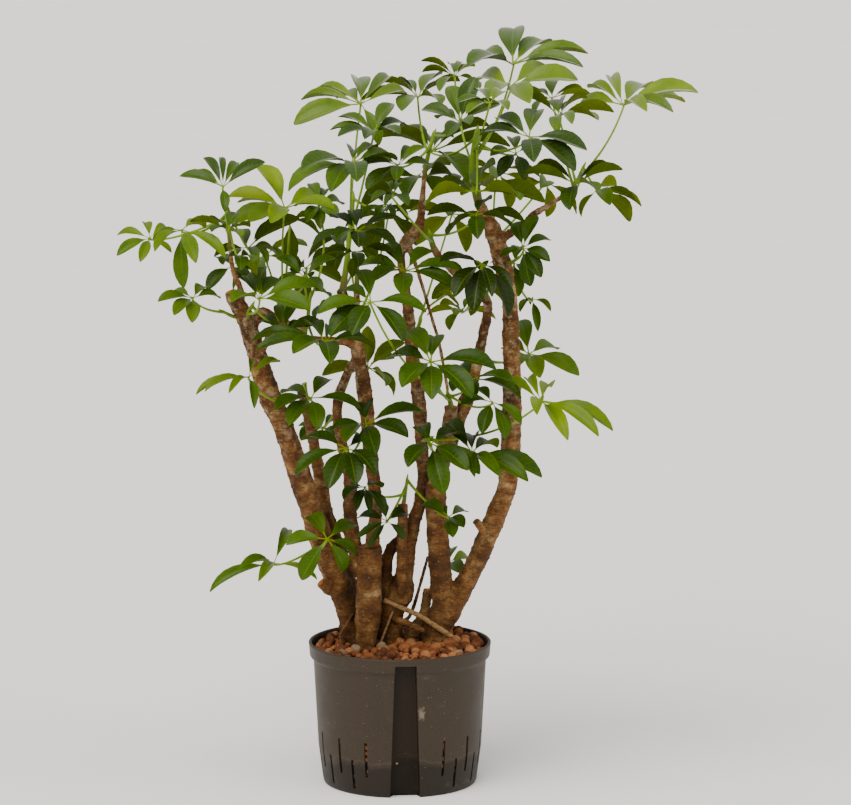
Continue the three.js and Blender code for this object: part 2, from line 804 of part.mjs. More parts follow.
// A leaf laid out in space: hub, axis, and each leaflet's turn, rise and reach, from the seen tips.
function seenPlan(leaf, shift) {
  const hub = seen(leaf.hub[0], leaf.hub[1], leaf.hub[2] + shift);
  const rays = leaf.tips.map(([px, py]) => {
    const ray = viewRay(px, py);
    const along = hub.clone().sub(VIEW.eye).dot(ray);
    const flat = VIEW.eye.clone().addScaledVector(ray, along).distanceTo(hub);
    const behind = leaf.back || py < leaf.hub[1] + 2;
    return { ray, along, flat, behind };
  });
  const longest = Math.max(...rays.map((r) => r.flat));
  const reachMost = Math.max(longest, LEAF.leastReach);
  const chords = rays.map(({ ray, along, flat, behind }) => {
    const reach = Math.max(flat * 1.01, reachMost * (0.8 + (0.2 * flat) / longest));
    const half = Math.sqrt(reach * reach - flat * flat);
    return VIEW.eye.clone().addScaledVector(ray, along + (behind ? half : -half)).sub(hub);
  });
  const mean = new THREE.Vector3();
  chords.forEach((chord) => mean.addScaledVector(chord, 1 / chord.length() / chords.length));
  mean.z = Math.min(mean.z, 0);
  const axis = UP.clone().addScaledVector(mean, -0.9);
  axis.y -= leanOf(leaf);
  axis.normalize();
  const { front, side } = acrossAxis(axis);
  const blades = chords.map((chord) => ({
    turn: Math.atan2(chord.dot(side), chord.dot(front)),
    rise: THREE.MathUtils.clamp(Math.asin(chord.dot(axis) / chord.length()), -1.1, 1.1),
    reach: chord.length(),
    narrow: leaf.slim ?? 1,
  }));
  spread(blades);
  const rise = blades.reduce((sum, blade) => sum + blade.rise, 0) / blades.length;
  while (blades.length < LEAF.leastBlades || widestGap(blades).gap > LEAF.mostGap) {
    const { after, gap } = widestGap(blades);
    const turn = blades[after].turn + gap / 2;
    blades.splice(after + 1, 0, { turn, rise, reach: reachMost * LEAF.fillShare, narrow: leaf.slim ?? 1 });
  }
  return { hub, axis, blades };
}

// A leaf at the back: an even whorl of drooping leaflets.
function hiddenPlan(leaf, shift) {
  const hub = seen(leaf.hub[0], leaf.hub[1], leaf.hub[2] + shift);
  const outward = new THREE.Vector3(hub.x, hub.y, 0).normalize();
  const lean = THREE.MathUtils.degToRad(leaf.lean);
  const axis = UP.clone().multiplyScalar(Math.cos(lean)).addScaledVector(outward, Math.sin(lean));
  const blades = [];
  for (let k = 0; k < leaf.blades; k++) {
    const turn = -Math.PI + (2 * Math.PI * (k + 0.4)) / leaf.blades;
    const rise = -0.45 - 0.12 * Math.cos(3 * turn);
    blades.push({ turn, rise, reach: leaf.reach * (0.9 + 0.1 * Math.sin(2 * turn)), narrow: 1 });
  }
  return { hub, axis, blades };
}

// One leaflet's stations: middle, half width, direction across and face normal.
function bladeStations(plan, blade) {
  const { front, side } = acrossAxis(plan.axis);
  const out = front.clone().multiplyScalar(Math.cos(blade.turn)).addScaledVector(side, Math.sin(blade.turn));
  const root = plan.hub.clone().addScaledVector(out, LEAF.hubRadius);
  const chord = out.clone().multiplyScalar(Math.cos(blade.rise));
  chord.addScaledVector(plan.axis, Math.sin(blade.rise));
  const tip = plan.hub.clone().addScaledVector(chord, blade.reach);
  const across = plan.axis.clone().cross(chord).normalize();
  const lift = chord.clone().cross(across);
  const half = (blade.reach * LEAF.widthShare * blade.narrow) / 2;
  const stations = [];
  const shares = blade.reach < LEAF.smallReach ? LEAF.smallStations : LEAF.stations;
  for (const [share, width] of [...shares, [1, 0]]) {
    const arch = 4 * LEAF.arch * blade.reach;
    const middle = root.clone().lerp(tip, share).addScaledVector(lift, arch * share * (1 - share));
    const along = tip.clone().sub(root).addScaledVector(lift, arch * (1 - 2 * share)).normalize();
    stations.push({ middle, half: half * width, across, face: along.cross(across).normalize() });
  }
  return stations;
}

// Joins the hub's lower edge, which runs round the axis at the given turns, to the ring of a stalk.
function funnel(outerTurns, innerTurns) {
  const joins = [];
  const lap = 2 * Math.PI;
  const turnAt = (turns, i) => turns[i % turns.length] + lap * Math.floor(i / turns.length);
  let [i, j] = [0, 0];
  while (i < outerTurns.length || j < innerTurns.length) {
    const outerNext = turnAt(outerTurns, i + 1);
    const innerNext = turnAt(innerTurns, j + 1);
    if (j >= innerTurns.length || (i < outerTurns.length && outerNext <= innerNext)) {
      joins.push(["outer", i % outerTurns.length, (i + 1) % outerTurns.length, j % innerTurns.length]);
      i += 1;
    } else {
      joins.push(["inner", i % outerTurns.length, (j + 1) % innerTurns.length, j % innerTurns.length]);
      j += 1;
    }
  }
  return joins;
}

// A leaf as one closed surface: a flat hub with as many sides as it has leaflets and gaps, each leaflet
// drawn out from its own side, and the stalk drawn down from the hub to its foot.
function leafSolid(plan, stalk) {
  const { front, side } = acrossAxis(plan.axis);
  const ports = [];
  plan.blades.forEach((blade, i) => {
    const next = i + 1 < plan.blades.length ? plan.blades[i + 1].turn : plan.blades[0].turn + 2 * Math.PI;
    const blanks = Math.floor((next - blade.turn) / 1.75);
    ports.push({ turn: blade.turn, blade: blade.dropped ? null : blade });
    for (let k = 1; k <= blanks; k++) {
      ports.push({ turn: blade.turn + ((next - blade.turn) * k) / (blanks + 1), blade: null });
    }
  });
  const count = ports.length;
  const points = [];
  const triangles = [];
  const cornerTurns = ports.map((port, i) => {
    const before = ports[(i + count - 1) % count].turn - (i === 0 ? 2 * Math.PI : 0);
    return (before + port.turn) / 2;
  });
  for (const turn of cornerTurns) {
    const out = front.clone().multiplyScalar(Math.cos(turn)).addScaledVector(side, Math.sin(turn));
    const corner = plan.hub.clone().addScaledVector(out, LEAF.hubRadius);
    points.push(corner.clone().addScaledVector(plan.axis, LEAF.hubHalf));
    points.push(corner.clone().addScaledVector(plan.axis, -LEAF.hubHalf));
  }
  for (let i = 1; i + 1 < count; i++) {
    triangles.push([0, 2 * i, 2 * i + 2]);
  }
  ports.forEach((port, i) => {
    let [left, leftLow] = [2 * i, 2 * i + 1];
    let [right, rightLow] = [2 * ((i + 1) % count), 2 * ((i + 1) % count) + 1];
    if (!port.blade) {
      triangles.push([left, leftLow, rightLow], [left, rightLow, right]);
      return;
    }
    for (const { middle, half, across, face } of bladeStations(plan, port.blade)) {
      const thick = LEAF.bladeHalf;
      const first = points.length;
      const corners = half > 0 ? [-half, half] : [0];
      for (const offset of corners) {
        const edge = middle.clone().addScaledVector(across, offset);
        points.push(edge.clone().addScaledVector(face, thick), edge.clone().addScaledVector(face, -thick));
      }
      if (half > 0) {
        const [nextLeft, nextLeftLow, nextRight, nextRightLow] = [first, first + 1, first + 2, first + 3];
        triangles.push([left, nextLeft, nextRight], [left, nextRight, right]);
        triangles.push([leftLow, nextRightLow, nextLeftLow], [leftLow, rightLow, nextRightLow]);
        triangles.push([left, leftLow, nextLeftLow], [left, nextLeftLow, nextLeft]);
        triangles.push([right, nextRight, nextRightLow], [right, nextRightLow, rightLow]);
        [left, leftLow, right, rightLow] = [nextLeft, nextLeftLow, nextRight, nextRightLow];
      } else {
        triangles.push([left, first, right], [leftLow, rightLow, first + 1]);
        triangles.push([left, leftLow, first + 1], [left, first + 1, first]);
        triangles.push([right, first, first + 1], [right, first + 1, rightLow]);
      }
    }
  });
  const firstRing = points.length;
  const ringTurns = [0, 1, 2].map((k) => cornerTurns[0] + (2 * Math.PI * (k + 0.3)) / 3);
  let across = front.clone().multiplyScalar(Math.cos(ringTurns[0]));
  across.addScaledVector(side, Math.sin(ringTurns[0]));
  stalk.forEach(([point, radius], i) => {
    const before = i > 0 ? stalk[i - 1][0] : plan.hub;
    const after = stalk[Math.min(i + 1, stalk.length - 1)][0];
    const along = i > 0 ? before.clone().sub(after).normalize() : plan.axis.clone();
    across = across.clone().addScaledVector(along, -across.dot(along)).normalize();
    const other = along.clone().cross(across);
    for (let k = 0; k < 3; k++) {
      const turn = (2 * Math.PI * k) / 3;
      const corner = point.clone().addScaledVector(across, radius * Math.cos(turn));
      points.push(corner.addScaledVector(other, radius * Math.sin(turn)));
    }
  });
  for (const [kind, outer, next, inner] of funnel(cornerTurns, ringTurns)) {
    if (kind === "outer") {
      triangles.push([2 * outer + 1, firstRing + inner, 2 * next + 1]);
    } else {
      triangles.push([2 * outer + 1, firstRing + inner, firstRing + next]);
    }
  }
  for (let i = 0; i + 1 < stalk.length; i++) {
    for (let k = 0; k < 3; k++) {
      const a = firstRing + 3 * i + k;
      const b = firstRing + 3 * i + ((k + 1) % 3);
      triangles.push([a, a + 3, b + 3], [a, b + 3, b]);
    }
  }
  const foot = points.length - 3;
  triangles.push([foot, foot + 2, foot + 1]);
  return solidOf(shell(points, triangles));
}

// One leaflet by itself, as a flat body with the same outline.
function bladeSolid(plan, blade, swell, rootHalf) {
  const thick = LEAF.bladeHalf + swell;
  const stations = bladeStations(plan, blade);
  const out = stations[0].middle.clone().sub(plan.hub).normalize();
  const root = plan.hub.clone().addScaledVector(out, LEAF.hubRadius);
  const { across, face } = stations[0];
  const outline = [{ middle: root, half: rootHalf, across, face }, ...stations];
  const points = [];
  for (const station of outline) {
    for (const [offset, height] of [[-1, thick], [1, thick], [1, -thick], [-1, -thick]]) {
      const half = Math.max(station.half, 0.2) * offset;
      points.push(
        station.middle.clone().addScaledVector(station.across, half).addScaledVector(station.face, height),
      );
    }
  }
  const triangles = [[0, 1, 2], [0, 2, 3]];
  for (let i = 0; i + 1 < outline.length; i++) {
    for (let k = 0; k < 4; k++) {
      const a = 4 * i + k;
      const b = 4 * i + ((k + 1) % 4);
      triangles.push([a, a + 4, b + 4], [a, b + 4, b]);
    }
  }
  const end = points.length - 4;
  triangles.push([end, end + 2, end + 1], [end, end + 3, end + 2]);
  return solidOf(shell(points, triangles));
}

// Neighbouring leaflets that would cross are drawn narrower.
function narrowed(plan) {
  const blades = plan.blades;
  for (let round = 0; round < 4; round++) {
    const solids = blades.map((blade) => bladeSolid(plan, blade, 0.1, 0.3));
    let clear = true;
    for (let i = 0; i < blades.length; i++) {
      const j = (i + 1) % blades.length;
      const common = solids[i].intersect(solids[j]);
      if (common.volume() > 0.01) {
        blades[i].narrow *= 0.85;
        blades[j].narrow *= 0.85;
        clear = false;
      }
      common.delete();
    }
    solids.forEach((solid) => solid.delete());
    if (clear) {
      break;
    }
  }
  return plan;
}

// ---------------------------------------------------------------- leaf stalks

// How a stalk may bow on its way from the shoot to its leaf: to the side and in depth, as shares of
// its length.
const BOWS = [
  [0, 0], [0.14, 0], [-0.14, 0], [0, 0.14], [0, -0.14],
  [0.26, 0.1], [-0.26, 0.1], [0.2, -0.2], [-0.2, -0.2],
];

function stalkStations(root, plan, [aside, deep]) {
  const end = plan.hub.clone().addScaledVector(plan.axis, -LEAF.stalkTop);
  const length = root.distanceTo(end);
  const bend = root.clone().lerp(end, 0.6).addScaledVector(plan.axis, -0.2 * length);
  bend.x += aside * length;
  bend.y += deep * length;
  const curve = new THREE.QuadraticBezierCurve3(end, bend, root);
  return [0, 0.4, 1].map((share) => [curve.getPoint(share), 1.1 + 0.5 * share]);
}

// The point of the shoot's stem that a leaf's stalk leaves from.
function stalkRoot(stem, share) {
  const points = stem.map(([px, py, depth]) => seen(px, py, depth));
  const place = share * (points.length - 1);
  const i = Math.min(Math.floor(place), points.length - 2);
  return points[i].clone().lerp(points[i + 1], place - i);
}

// ---------------------------------------------------------------- putting the crown together

// The stems first; every leaf then moves in depth along its own line of sight, by the smallest of these steps
// that leaves it clear of the wood and of all other leaves, and its stalk bows clear the same way.
const STEPS = [0, 14, -14, 28, -28, 42, -42, 58, -58, 76, -76, 96, -96, 118, -118];

const crown = { wood: {}, shoots: {} };
const placed = [];

for (const [name, limbs] of Object.entries(WOOD)) {
  let wood = limbs.map((limb) => limbSolid(limb, 0)).reduce((sum, solid) => sum.add(solid));
  const box = boxOf(wood);
  for (const piece of placed) {
    if (box.intersectsBox(piece.box)) {
      wood = wood.subtract(piece.solid);
    }
  }
  crown.wood[name] = largest(wood);
  for (const limb of limbs) {
    const solid = limbSolid(limb, GAP);
    placed.push({ owner: name, solid, box: boxOf(solid) });
  }
}

const woodPieces = [...placed];

function othersThan(owner) {
  return placed.filter((piece) => piece.owner !== owner);
}

// The blades of a plan that cross any of the pieces.
function crossingBlades(plan, pieces) {
  return plan.blades.filter((blade) => {
    const solid = bladeSolid(plan, blade, 0.2, 1);
    const crossing = crosses(solid, boxOf(solid), pieces);
    solid.delete();
    return crossing;
  });
}

// The first bow that keeps a stalk clear of the other shoots, and of the wood above its foot.
function clearStalk(root, plan, owner) {
  const others = placed.filter((piece) => piece.owner !== owner && !woodPieces.includes(piece));
  return BOWS.find((bow) => {
    const [top, middle, foot] = stalkStations(root, plan, bow);
    const above = [middle[0].clone().lerp(foot[0], 0.6), foot[1]];
    const whole = tube([top, middle, foot].map(([point, radius]) => [point, radius + 0.2]), 3);
    const upper = tube([top, middle, above], 3);
    const crossing = crosses(whole, boxOf(whole), others) || crosses(upper, boxOf(upper), woodPieces);
    whole.delete();
    upper.delete();
    return !crossing;
  });
}

// The leaf as a solid, without the leaflets that would cross another piece.
function trimmedLeaf(plan, crossing, stalk) {
  crossing.forEach((blade) => {
    blade.dropped = true;
  });
  return leafSolid(plan, stalk);
}

// Finds the step for a leaf: first clear of everything, then clear of the other shoots with the fewest
// leaflets left out.
function settle(leaf, owner, root, planOf) {
  const others = othersThan(owner);
  let best = null;
  for (const strict of [true, false]) {
    for (const step of strict ? STEPS.slice(0, 9) : STEPS) {
      const plan = narrowed(planOf(leaf, step));
      const crossing = crossingBlades(plan, strict ? placed : others);
      if (crossing.length > 0 && (strict || (best && crossing.length >= best.crossing.length))) {
        continue;
      }
      const bow = clearStalk(root, plan, owner);
      if (!bow) {
        continue;
      }
      const solid = trimmedLeaf(plan, crossing, stalkStations(root, plan, bow));
      if (crosses(solid, boxOf(solid), others.filter((piece) => !woodPieces.includes(piece)))) {
        continue;
      }
      best = { crossing, solid };
      if (crossing.length === 0) {
        return best;
      }
    }
  }
  return best;
}

const LEAF_SETS = [
  ...Object.entries(SHOOTS).map(([name, shoot]) => [name, shoot, seenPlan]),
  ...Object.entries(HIDDEN).map(([name, shoot]) => [name, shoot, hiddenPlan]),
];

for (const [name, shoot] of LEAF_SETS) {
  const solid = tube(stationsOf(shoot.stem, 0), 4);
  crown.shoots[name] = [solid];
  placed.push({ owner: name, solid, box: boxOf(solid) });
}

for (const [name, shoot, planOf] of LEAF_SETS) {
  shoot.leaves.forEach((leaf, i) => {
    const share = shoot.leaves.length > 1 ? 0.55 + (0.45 * i) / (shoot.leaves.length - 1) : 1;
    const root = stalkRoot(shoot.stem, share);
    const { solid } = settle(leaf, name, root, planOf);
    crown.shoots[name].push(solid);
    placed.push({ owner: name, solid, box: boxOf(solid) });
  });
}

// Each shoot as one body, cut clear where it leaves the wood.
function shootSolid(name) {
  let solid = crown.shoots[name].reduce((sum, piece) => sum.add(piece));
  const box = boxOf(solid);
  for (const piece of woodPieces) {
    if (box.intersectsBox(piece.box)) {
      solid = solid.subtract(piece.solid);
    }
  }
  return largest(solid);
}

// ---------------------------------------------------------------- the pot

function latheSolid(profile) {
  const points = profile.map(([radius, height]) => new THREE.Vector2(radius, height));
  const geometry = new THREE.LatheGeometry(points, POT.sides);
  geometry.rotateX(Math.PI / 2);
  geometry.rotateZ(THREE.MathUtils.degToRad(GROOVE.azimuth));
  return solidOf(geometry);
}

// A solid round the groove: its inner face, its sides and its top, grown by the given amount.
function grooveSolid(grow) {
  const geometry = new THREE.BoxGeometry(2, 2, 2);
  const corner = geometry.attributes.position;
  for (let i = 0; i < corner.count; i++) {
    const top = corner.getZ(i) > 0;
    const inner = corner.getY(i) > 0;
    const half = (top ? GROOVE.halfWidthTop : GROOVE.halfWidthFoot) + grow;
    const radius = inner ? (top ? GROOVE.innerTop : GROOVE.innerFoot) - grow : POT.rimRadius + 12;
    corner.setXYZ(i, Math.sign(corner.getX(i)) * half, -radius, top ? GROOVE.top + grow : -2);
  }
  geometry.rotateZ(THREE.MathUtils.degToRad(GROOVE.azimuth));
  return solidOf(geometry);
}

function outerProfile() {
  return [
    [0, 0],
    [POT.footRadius - 3, 0],
    [POT.footRadius, 3],
    [POT.waistRadius, POT.waistHeight],
    [POT.shoulderRadius, POT.shoulderHeight],
    [POT.bandRadius, POT.shoulderHeight + 3.5],
    [POT.rimRadius, POT.height - 2],
    [POT.rimRadius - 0.5, POT.height],
    [0, POT.height],
  ];
}

// The room inside the pot's wall, held off it by a clearance and up to a level.
function innerProfile(clearance, level) {
  const inset = POT.wall + clearance;
  const foot = POT.floor + clearance;
  return [
    [0, foot],
    [POT.footRadius - inset, foot],
    [POT.waistRadius - inset, POT.waistHeight],
    [POT.shoulderRadius - inset, POT.shoulderHeight],
    [POT.bandRadius - inset, POT.shoulderHeight + 3.5],
    [POT.bandRadius - inset, level],
    [0, level],
  ];
}

function potSolid() {
  const outer = latheSolid(outerProfile()).subtract(grooveSolid(0));
  const inner = latheSolid(innerProfile(0, POT.height + 5)).subtract(grooveSolid(POT.wall));
  let pot = outer.subtract(inner);
  const rows = [SLOT.highRow, SLOT.lowRow];
  let turn = SLOT.first;
  for (let k = 0; turn <= SLOT.last; k++) {
    const [low, high] = rows[k % 2];
    for (const sign of [-1, 1]) {
      const slot = new THREE.BoxGeometry(SLOT.width, 16, high - low);
      slot.translate(0, -POT.footRadius - 1.5, (low + high) / 2);
      slot.rotateZ(THREE.MathUtils.degToRad(GROOVE.azimuth + sign * turn));
      pot = pot.subtract(solidOf(slot));
    }
    turn += SLOT.pitch;
  }
  return largest(pot);
}

// ---------------------------------------------------------------- the clay granules

// A small seeded generator of even numbers between 0 and 1.
function seeded(seed) {
  let state = seed;
  return () => {
    state = (state * 1664525 + 1013904223) % 4294967296;
    return state / 4294967296;
  };
}

function claySolid() {
  let clay = latheSolid(innerProfile(GAP, CLAY.level));
  const random = seeded(CLAY.seed);
  const wall = POT.bandRadius - POT.wall - 2;
  for (let k = 0; k < CLAY.pebbles; k++) {
    const size = THREE.MathUtils.lerp(CLAY.pebbleMin, CLAY.pebbleMax, random());
    const radius = (wall - size) * Math.sqrt((k + 0.5) / CLAY.pebbles);
    const turn = k * 2.39996;
    const pebble = new THREE.IcosahedronGeometry(size, 0);
    pebble.scale(1, 0.85 + 0.15 * random(), 0.75 + 0.15 * random());
    pebble.rotateZ(6.3 * random());
    const rise = CLAY.level + CLAY.heap * (1 - radius / wall);
    pebble.translate(radius * Math.cos(turn), radius * Math.sin(turn), rise);
    clay = clay.add(solidOf(pebble));
  }
  clay = clay.subtract(grooveSolid(POT.wall + GAP));
  for (const piece of woodPieces) {
    clay = clay.subtract(piece.solid);
  }
  return largest(clay);
}

// ---------------------------------------------------------------- the object

const group = new THREE.Group();
group.name = "potted_umbrella_plant";

function place(name, solid, colour, roughness) {
  const material = new THREE.MeshStandardMaterial({ color: colour, roughness, metalness: 0 });
  const mesh = new THREE.Mesh(geometryOf(solid), material);
  mesh.name = name;
  group.add(mesh);
}

place("pot", potSolid(), COLOUR.pot, 0.55);
place("clay", claySolid(), COLOUR.clay, 0.95);
for (const [name, solid] of Object.entries(crown.wood)) {
  place(name, solid, COLOUR.bark, 0.9);
}
for (const name of Object.keys(crown.shoots)) {
  place(name, shootSolid(name), COLOUR.leaf, 0.4);
}

export default group;
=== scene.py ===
import math
from functools import partial

import bpy
import numpy as np
from bpy.props import FloatProperty, FloatVectorProperty, IntProperty, PointerProperty
from mathutils import Color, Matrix
from mathutils.kdtree import KDTree


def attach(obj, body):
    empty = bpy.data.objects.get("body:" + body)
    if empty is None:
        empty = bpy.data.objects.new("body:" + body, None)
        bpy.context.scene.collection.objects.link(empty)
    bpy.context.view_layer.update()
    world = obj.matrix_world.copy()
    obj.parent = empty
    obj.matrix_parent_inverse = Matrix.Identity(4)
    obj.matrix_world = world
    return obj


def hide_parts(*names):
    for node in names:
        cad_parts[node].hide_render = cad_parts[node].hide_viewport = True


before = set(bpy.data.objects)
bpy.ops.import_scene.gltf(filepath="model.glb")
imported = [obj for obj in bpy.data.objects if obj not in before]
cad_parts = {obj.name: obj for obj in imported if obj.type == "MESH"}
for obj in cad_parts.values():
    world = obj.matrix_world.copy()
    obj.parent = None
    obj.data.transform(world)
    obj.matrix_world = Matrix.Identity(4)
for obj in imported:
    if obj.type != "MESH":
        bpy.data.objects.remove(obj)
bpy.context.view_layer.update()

bl_info = {
    "name": "Potted Umbrella Plant",
    "version": (1, 0, 0),
    "blender": (4, 5, 0),
    "location": "View3D > Sidebar > Umbrella Plant",
    "description": "Dresses a potted umbrella plant: pot, clay granules, woody stems, leaves and a plain stage",
    "category": "Object",
}

# Metres, +Z up, the origin in the middle of the pot's foot and the pot's groove towards -Y. The tables hold
# pixels and depths in millimetres. What is laid out from them is in millimetres, until a mesh is made of it.
MM = 0.001
BODY = "root"


# ---------------------------------------------------------------- the plant's tables
# A word with an underscore names a CAD node. Every other word starts a record, and the numbers after it are
# its values. A station of a limb or a stem is pixel x, pixel y, millimetres behind the pot's axis, and the
# width in pixels.

def records(text):
    """The records of a table: node, word and numbers."""
    node, found = "", []
    for word in text.replace(",", " ").split():
        if "_" in word:
            node = word
        elif word.isalpha():
            found.append((node, word, []))
        else:
            found[-1][2].append(float(word))
    return found


def grouped(numbers, size):
    return [tuple(numbers[i:i + size]) for i in range(0, len(numbers), size)]


def limb_table(text):
    """The limbs of each node: whether a limb is rooted, so goes on down into the granules, and its stations."""
    table = {}
    for node, word, numbers in records(text):
        table.setdefault(node, []).append((word == "rooted", grouped(numbers, 4)))
    return table


def shoot_table(text):
    """The stem of each node and its leaves.

    A leaf has the pixel and depth of its hub, and the pixels of its leaflets' tips or else how it is grown
    (lean in degrees, blades, reach). Its shade is how fresh it is, judged from old and dark at 0 to young and
    yellow-green at 1. Slim makes its leaflets narrower, tilt sets its lean towards the viewer, one seen from
    under leans away, and one at the back of a shoot has all its tips behind its hub."""
    table = {}
    for node, word, numbers in records(text):
        if word == "stem":
            table[node] = {"stem": grouped(numbers, 4), "leaves": []}
        elif word == "leaf":
            table[node]["leaves"].append({"hub": numbers})
        elif word == "tips":
            table[node]["leaves"][-1][word] = grouped(numbers, 2)
        else:
            table[node]["leaves"][-1][word] = numbers[0] if numbers else True
    return table


WOOD = limb_table("""
trunk_left
  rooted 352 643 30 23, 349 620 28 20, 344 597 22 24, 323 545 0 23, 303 485 -11 22, 283 425 -15 20, 270 397 -17
    21, 254 345 -21 18, 245 318 -23 17, 234 299 -24 15, 230 291 -25 11
  limb 250 328 -21 13, 261 314 -10 12, 275 319 0 11, 290 326 10 10, 303 331 16 7
  limb 240 308 -23 9, 241 292 -27 6.5, 237 280 -29 6, 232 266 -31 5, 230 244 -33 4.6
  limb 256 352 -20 8, 263 348 -31 7, 268 338 -37 6, 270 329 -39 5.5
  limb 338 590 4 15, 327 587 -5 13, 320 582 -8 9
  limb 350 610 34 22, 344 575 34 22, 335 545 36 18, 326 512 37 14, 320 478 38 12, 308 415 41 10, 301 390 43 8
trunk_centre
  rooted 366 645 1 19, 367 632 0 21, 368 617 -1 25, 369 585 -2 24, 370 546 -4 23
  limb 371 575 0 14, 373 535 4 14, 376 502 8 12.5, 369 440 10 13.5, 366 405 10 14, 359 358 6 14, 351 320 0 11,
    341 289 -6 9
  limb 352 324 0 8, 356 306 4 7, 357 289 6 6
  limb 358 348 4 10, 345 342 -8 8.5, 325 340 -16 7, 302 338 -20 6
  limb 366 585 4 14, 354 545 14 15, 350 510 18 13.5, 350 480 22 12, 337 410 30 10, 352 362 36 8
  limb 351 534 15 4, 336 526 11 3.2, 330 508 9 3, 327 474 8 3
trunk_middle
  rooted 389 642 26 25, 390 622 26 24, 393 606 25 25, 401 590 23 26, 404 573 20 18, 412 530 17 14, 423 485 16
    12, 421 435 16 13, 418 390 16 13.5, 411 345 16 13, 408 308 16 11, 402 268 14 8, 402 251 12 9, 409 239 10 13,
    417 230 11 11, 421 216 14 8, 424 178 26 5
  limb 409 241 10 8, 411 253 9 6, 418 272 6 4, 434 325 -2 3.8, 440 347 -6 3.6, 448 392 -9 3.2
  limb 402 603 14 12, 402 560 5 11, 403 504 0 10
  limb 390 604 26 17, 386 578 28 13, 388 556 28 12, 396 544 25 11, 409 534 18 10
  limb 394 628 28 7, 406 620 31 5, 412 611 32 4, 420 585 34 3.6, 428 556 36 3.4
  limb 391 618 18 6, 401 621 2 7, 413 626 -5 6.5, 424 631 -7 5
trunk_right
  rooted 433 643 14 24, 434 633 14 25, 440 620 14 28, 447 607 12 30, 443 592 11 24, 441 580 9 22, 436 505 3 21,
    438 478 1 18, 447 440 -1 16, 452 406 -4 13
  limb 446 456 2 13, 459 420 10 13, 472 382 16 12.5, 483 335 20 10, 487 301 20 9, 466 285 14 6.5, 441 259 4 7,
    433 247 0 7
  limb 445 612 13 26, 454 600 12 24, 463 587 10 21, 474 566 7 20, 497 513 2 20, 507 485 0 18.5, 511 440 -4 19,
    512 388 -8 17.5, 511 330 -8 16, 508 288 -8 14, 502 262 -8 17, 494 231 -8 16, 486 218 -8 12, 479 201 -8 8
  limb 491 236 -9 12, 490 226 -18 12, 491 221 -22 10
  limb 500 240 -8 10, 512 232 -10 8, 523 226 -12 7, 533 215 -12 7, 546 207 -10 5.5, 563 196 -8 4.6
  limb 488 535 3 9, 480 526 -7 7.5, 476 521 -11 6.5
stub_cut
  rooted 413 643 30 16, 414 633 30 16, 421 620 30 12, 425 611 30 10, 428 589 30 9
stick_fallen
  limb 384 600 9 5, 400 607 4.6 5, 420 616 -1 5, 440 629 -6.2 5, 453 637 -8.7 4
""")

# Thin roots that hang in front of the trunks.
ROOTS = limb_table("""
roots_dark
  limb 353 613 15 2.4, 347 624 8 2.6, 341 634 4 2.4, 341 649 0 2.2
roots_pale
  limb 393 611 9 2.4, 387 626 4 2.2, 378 650 -2 2.0
""")

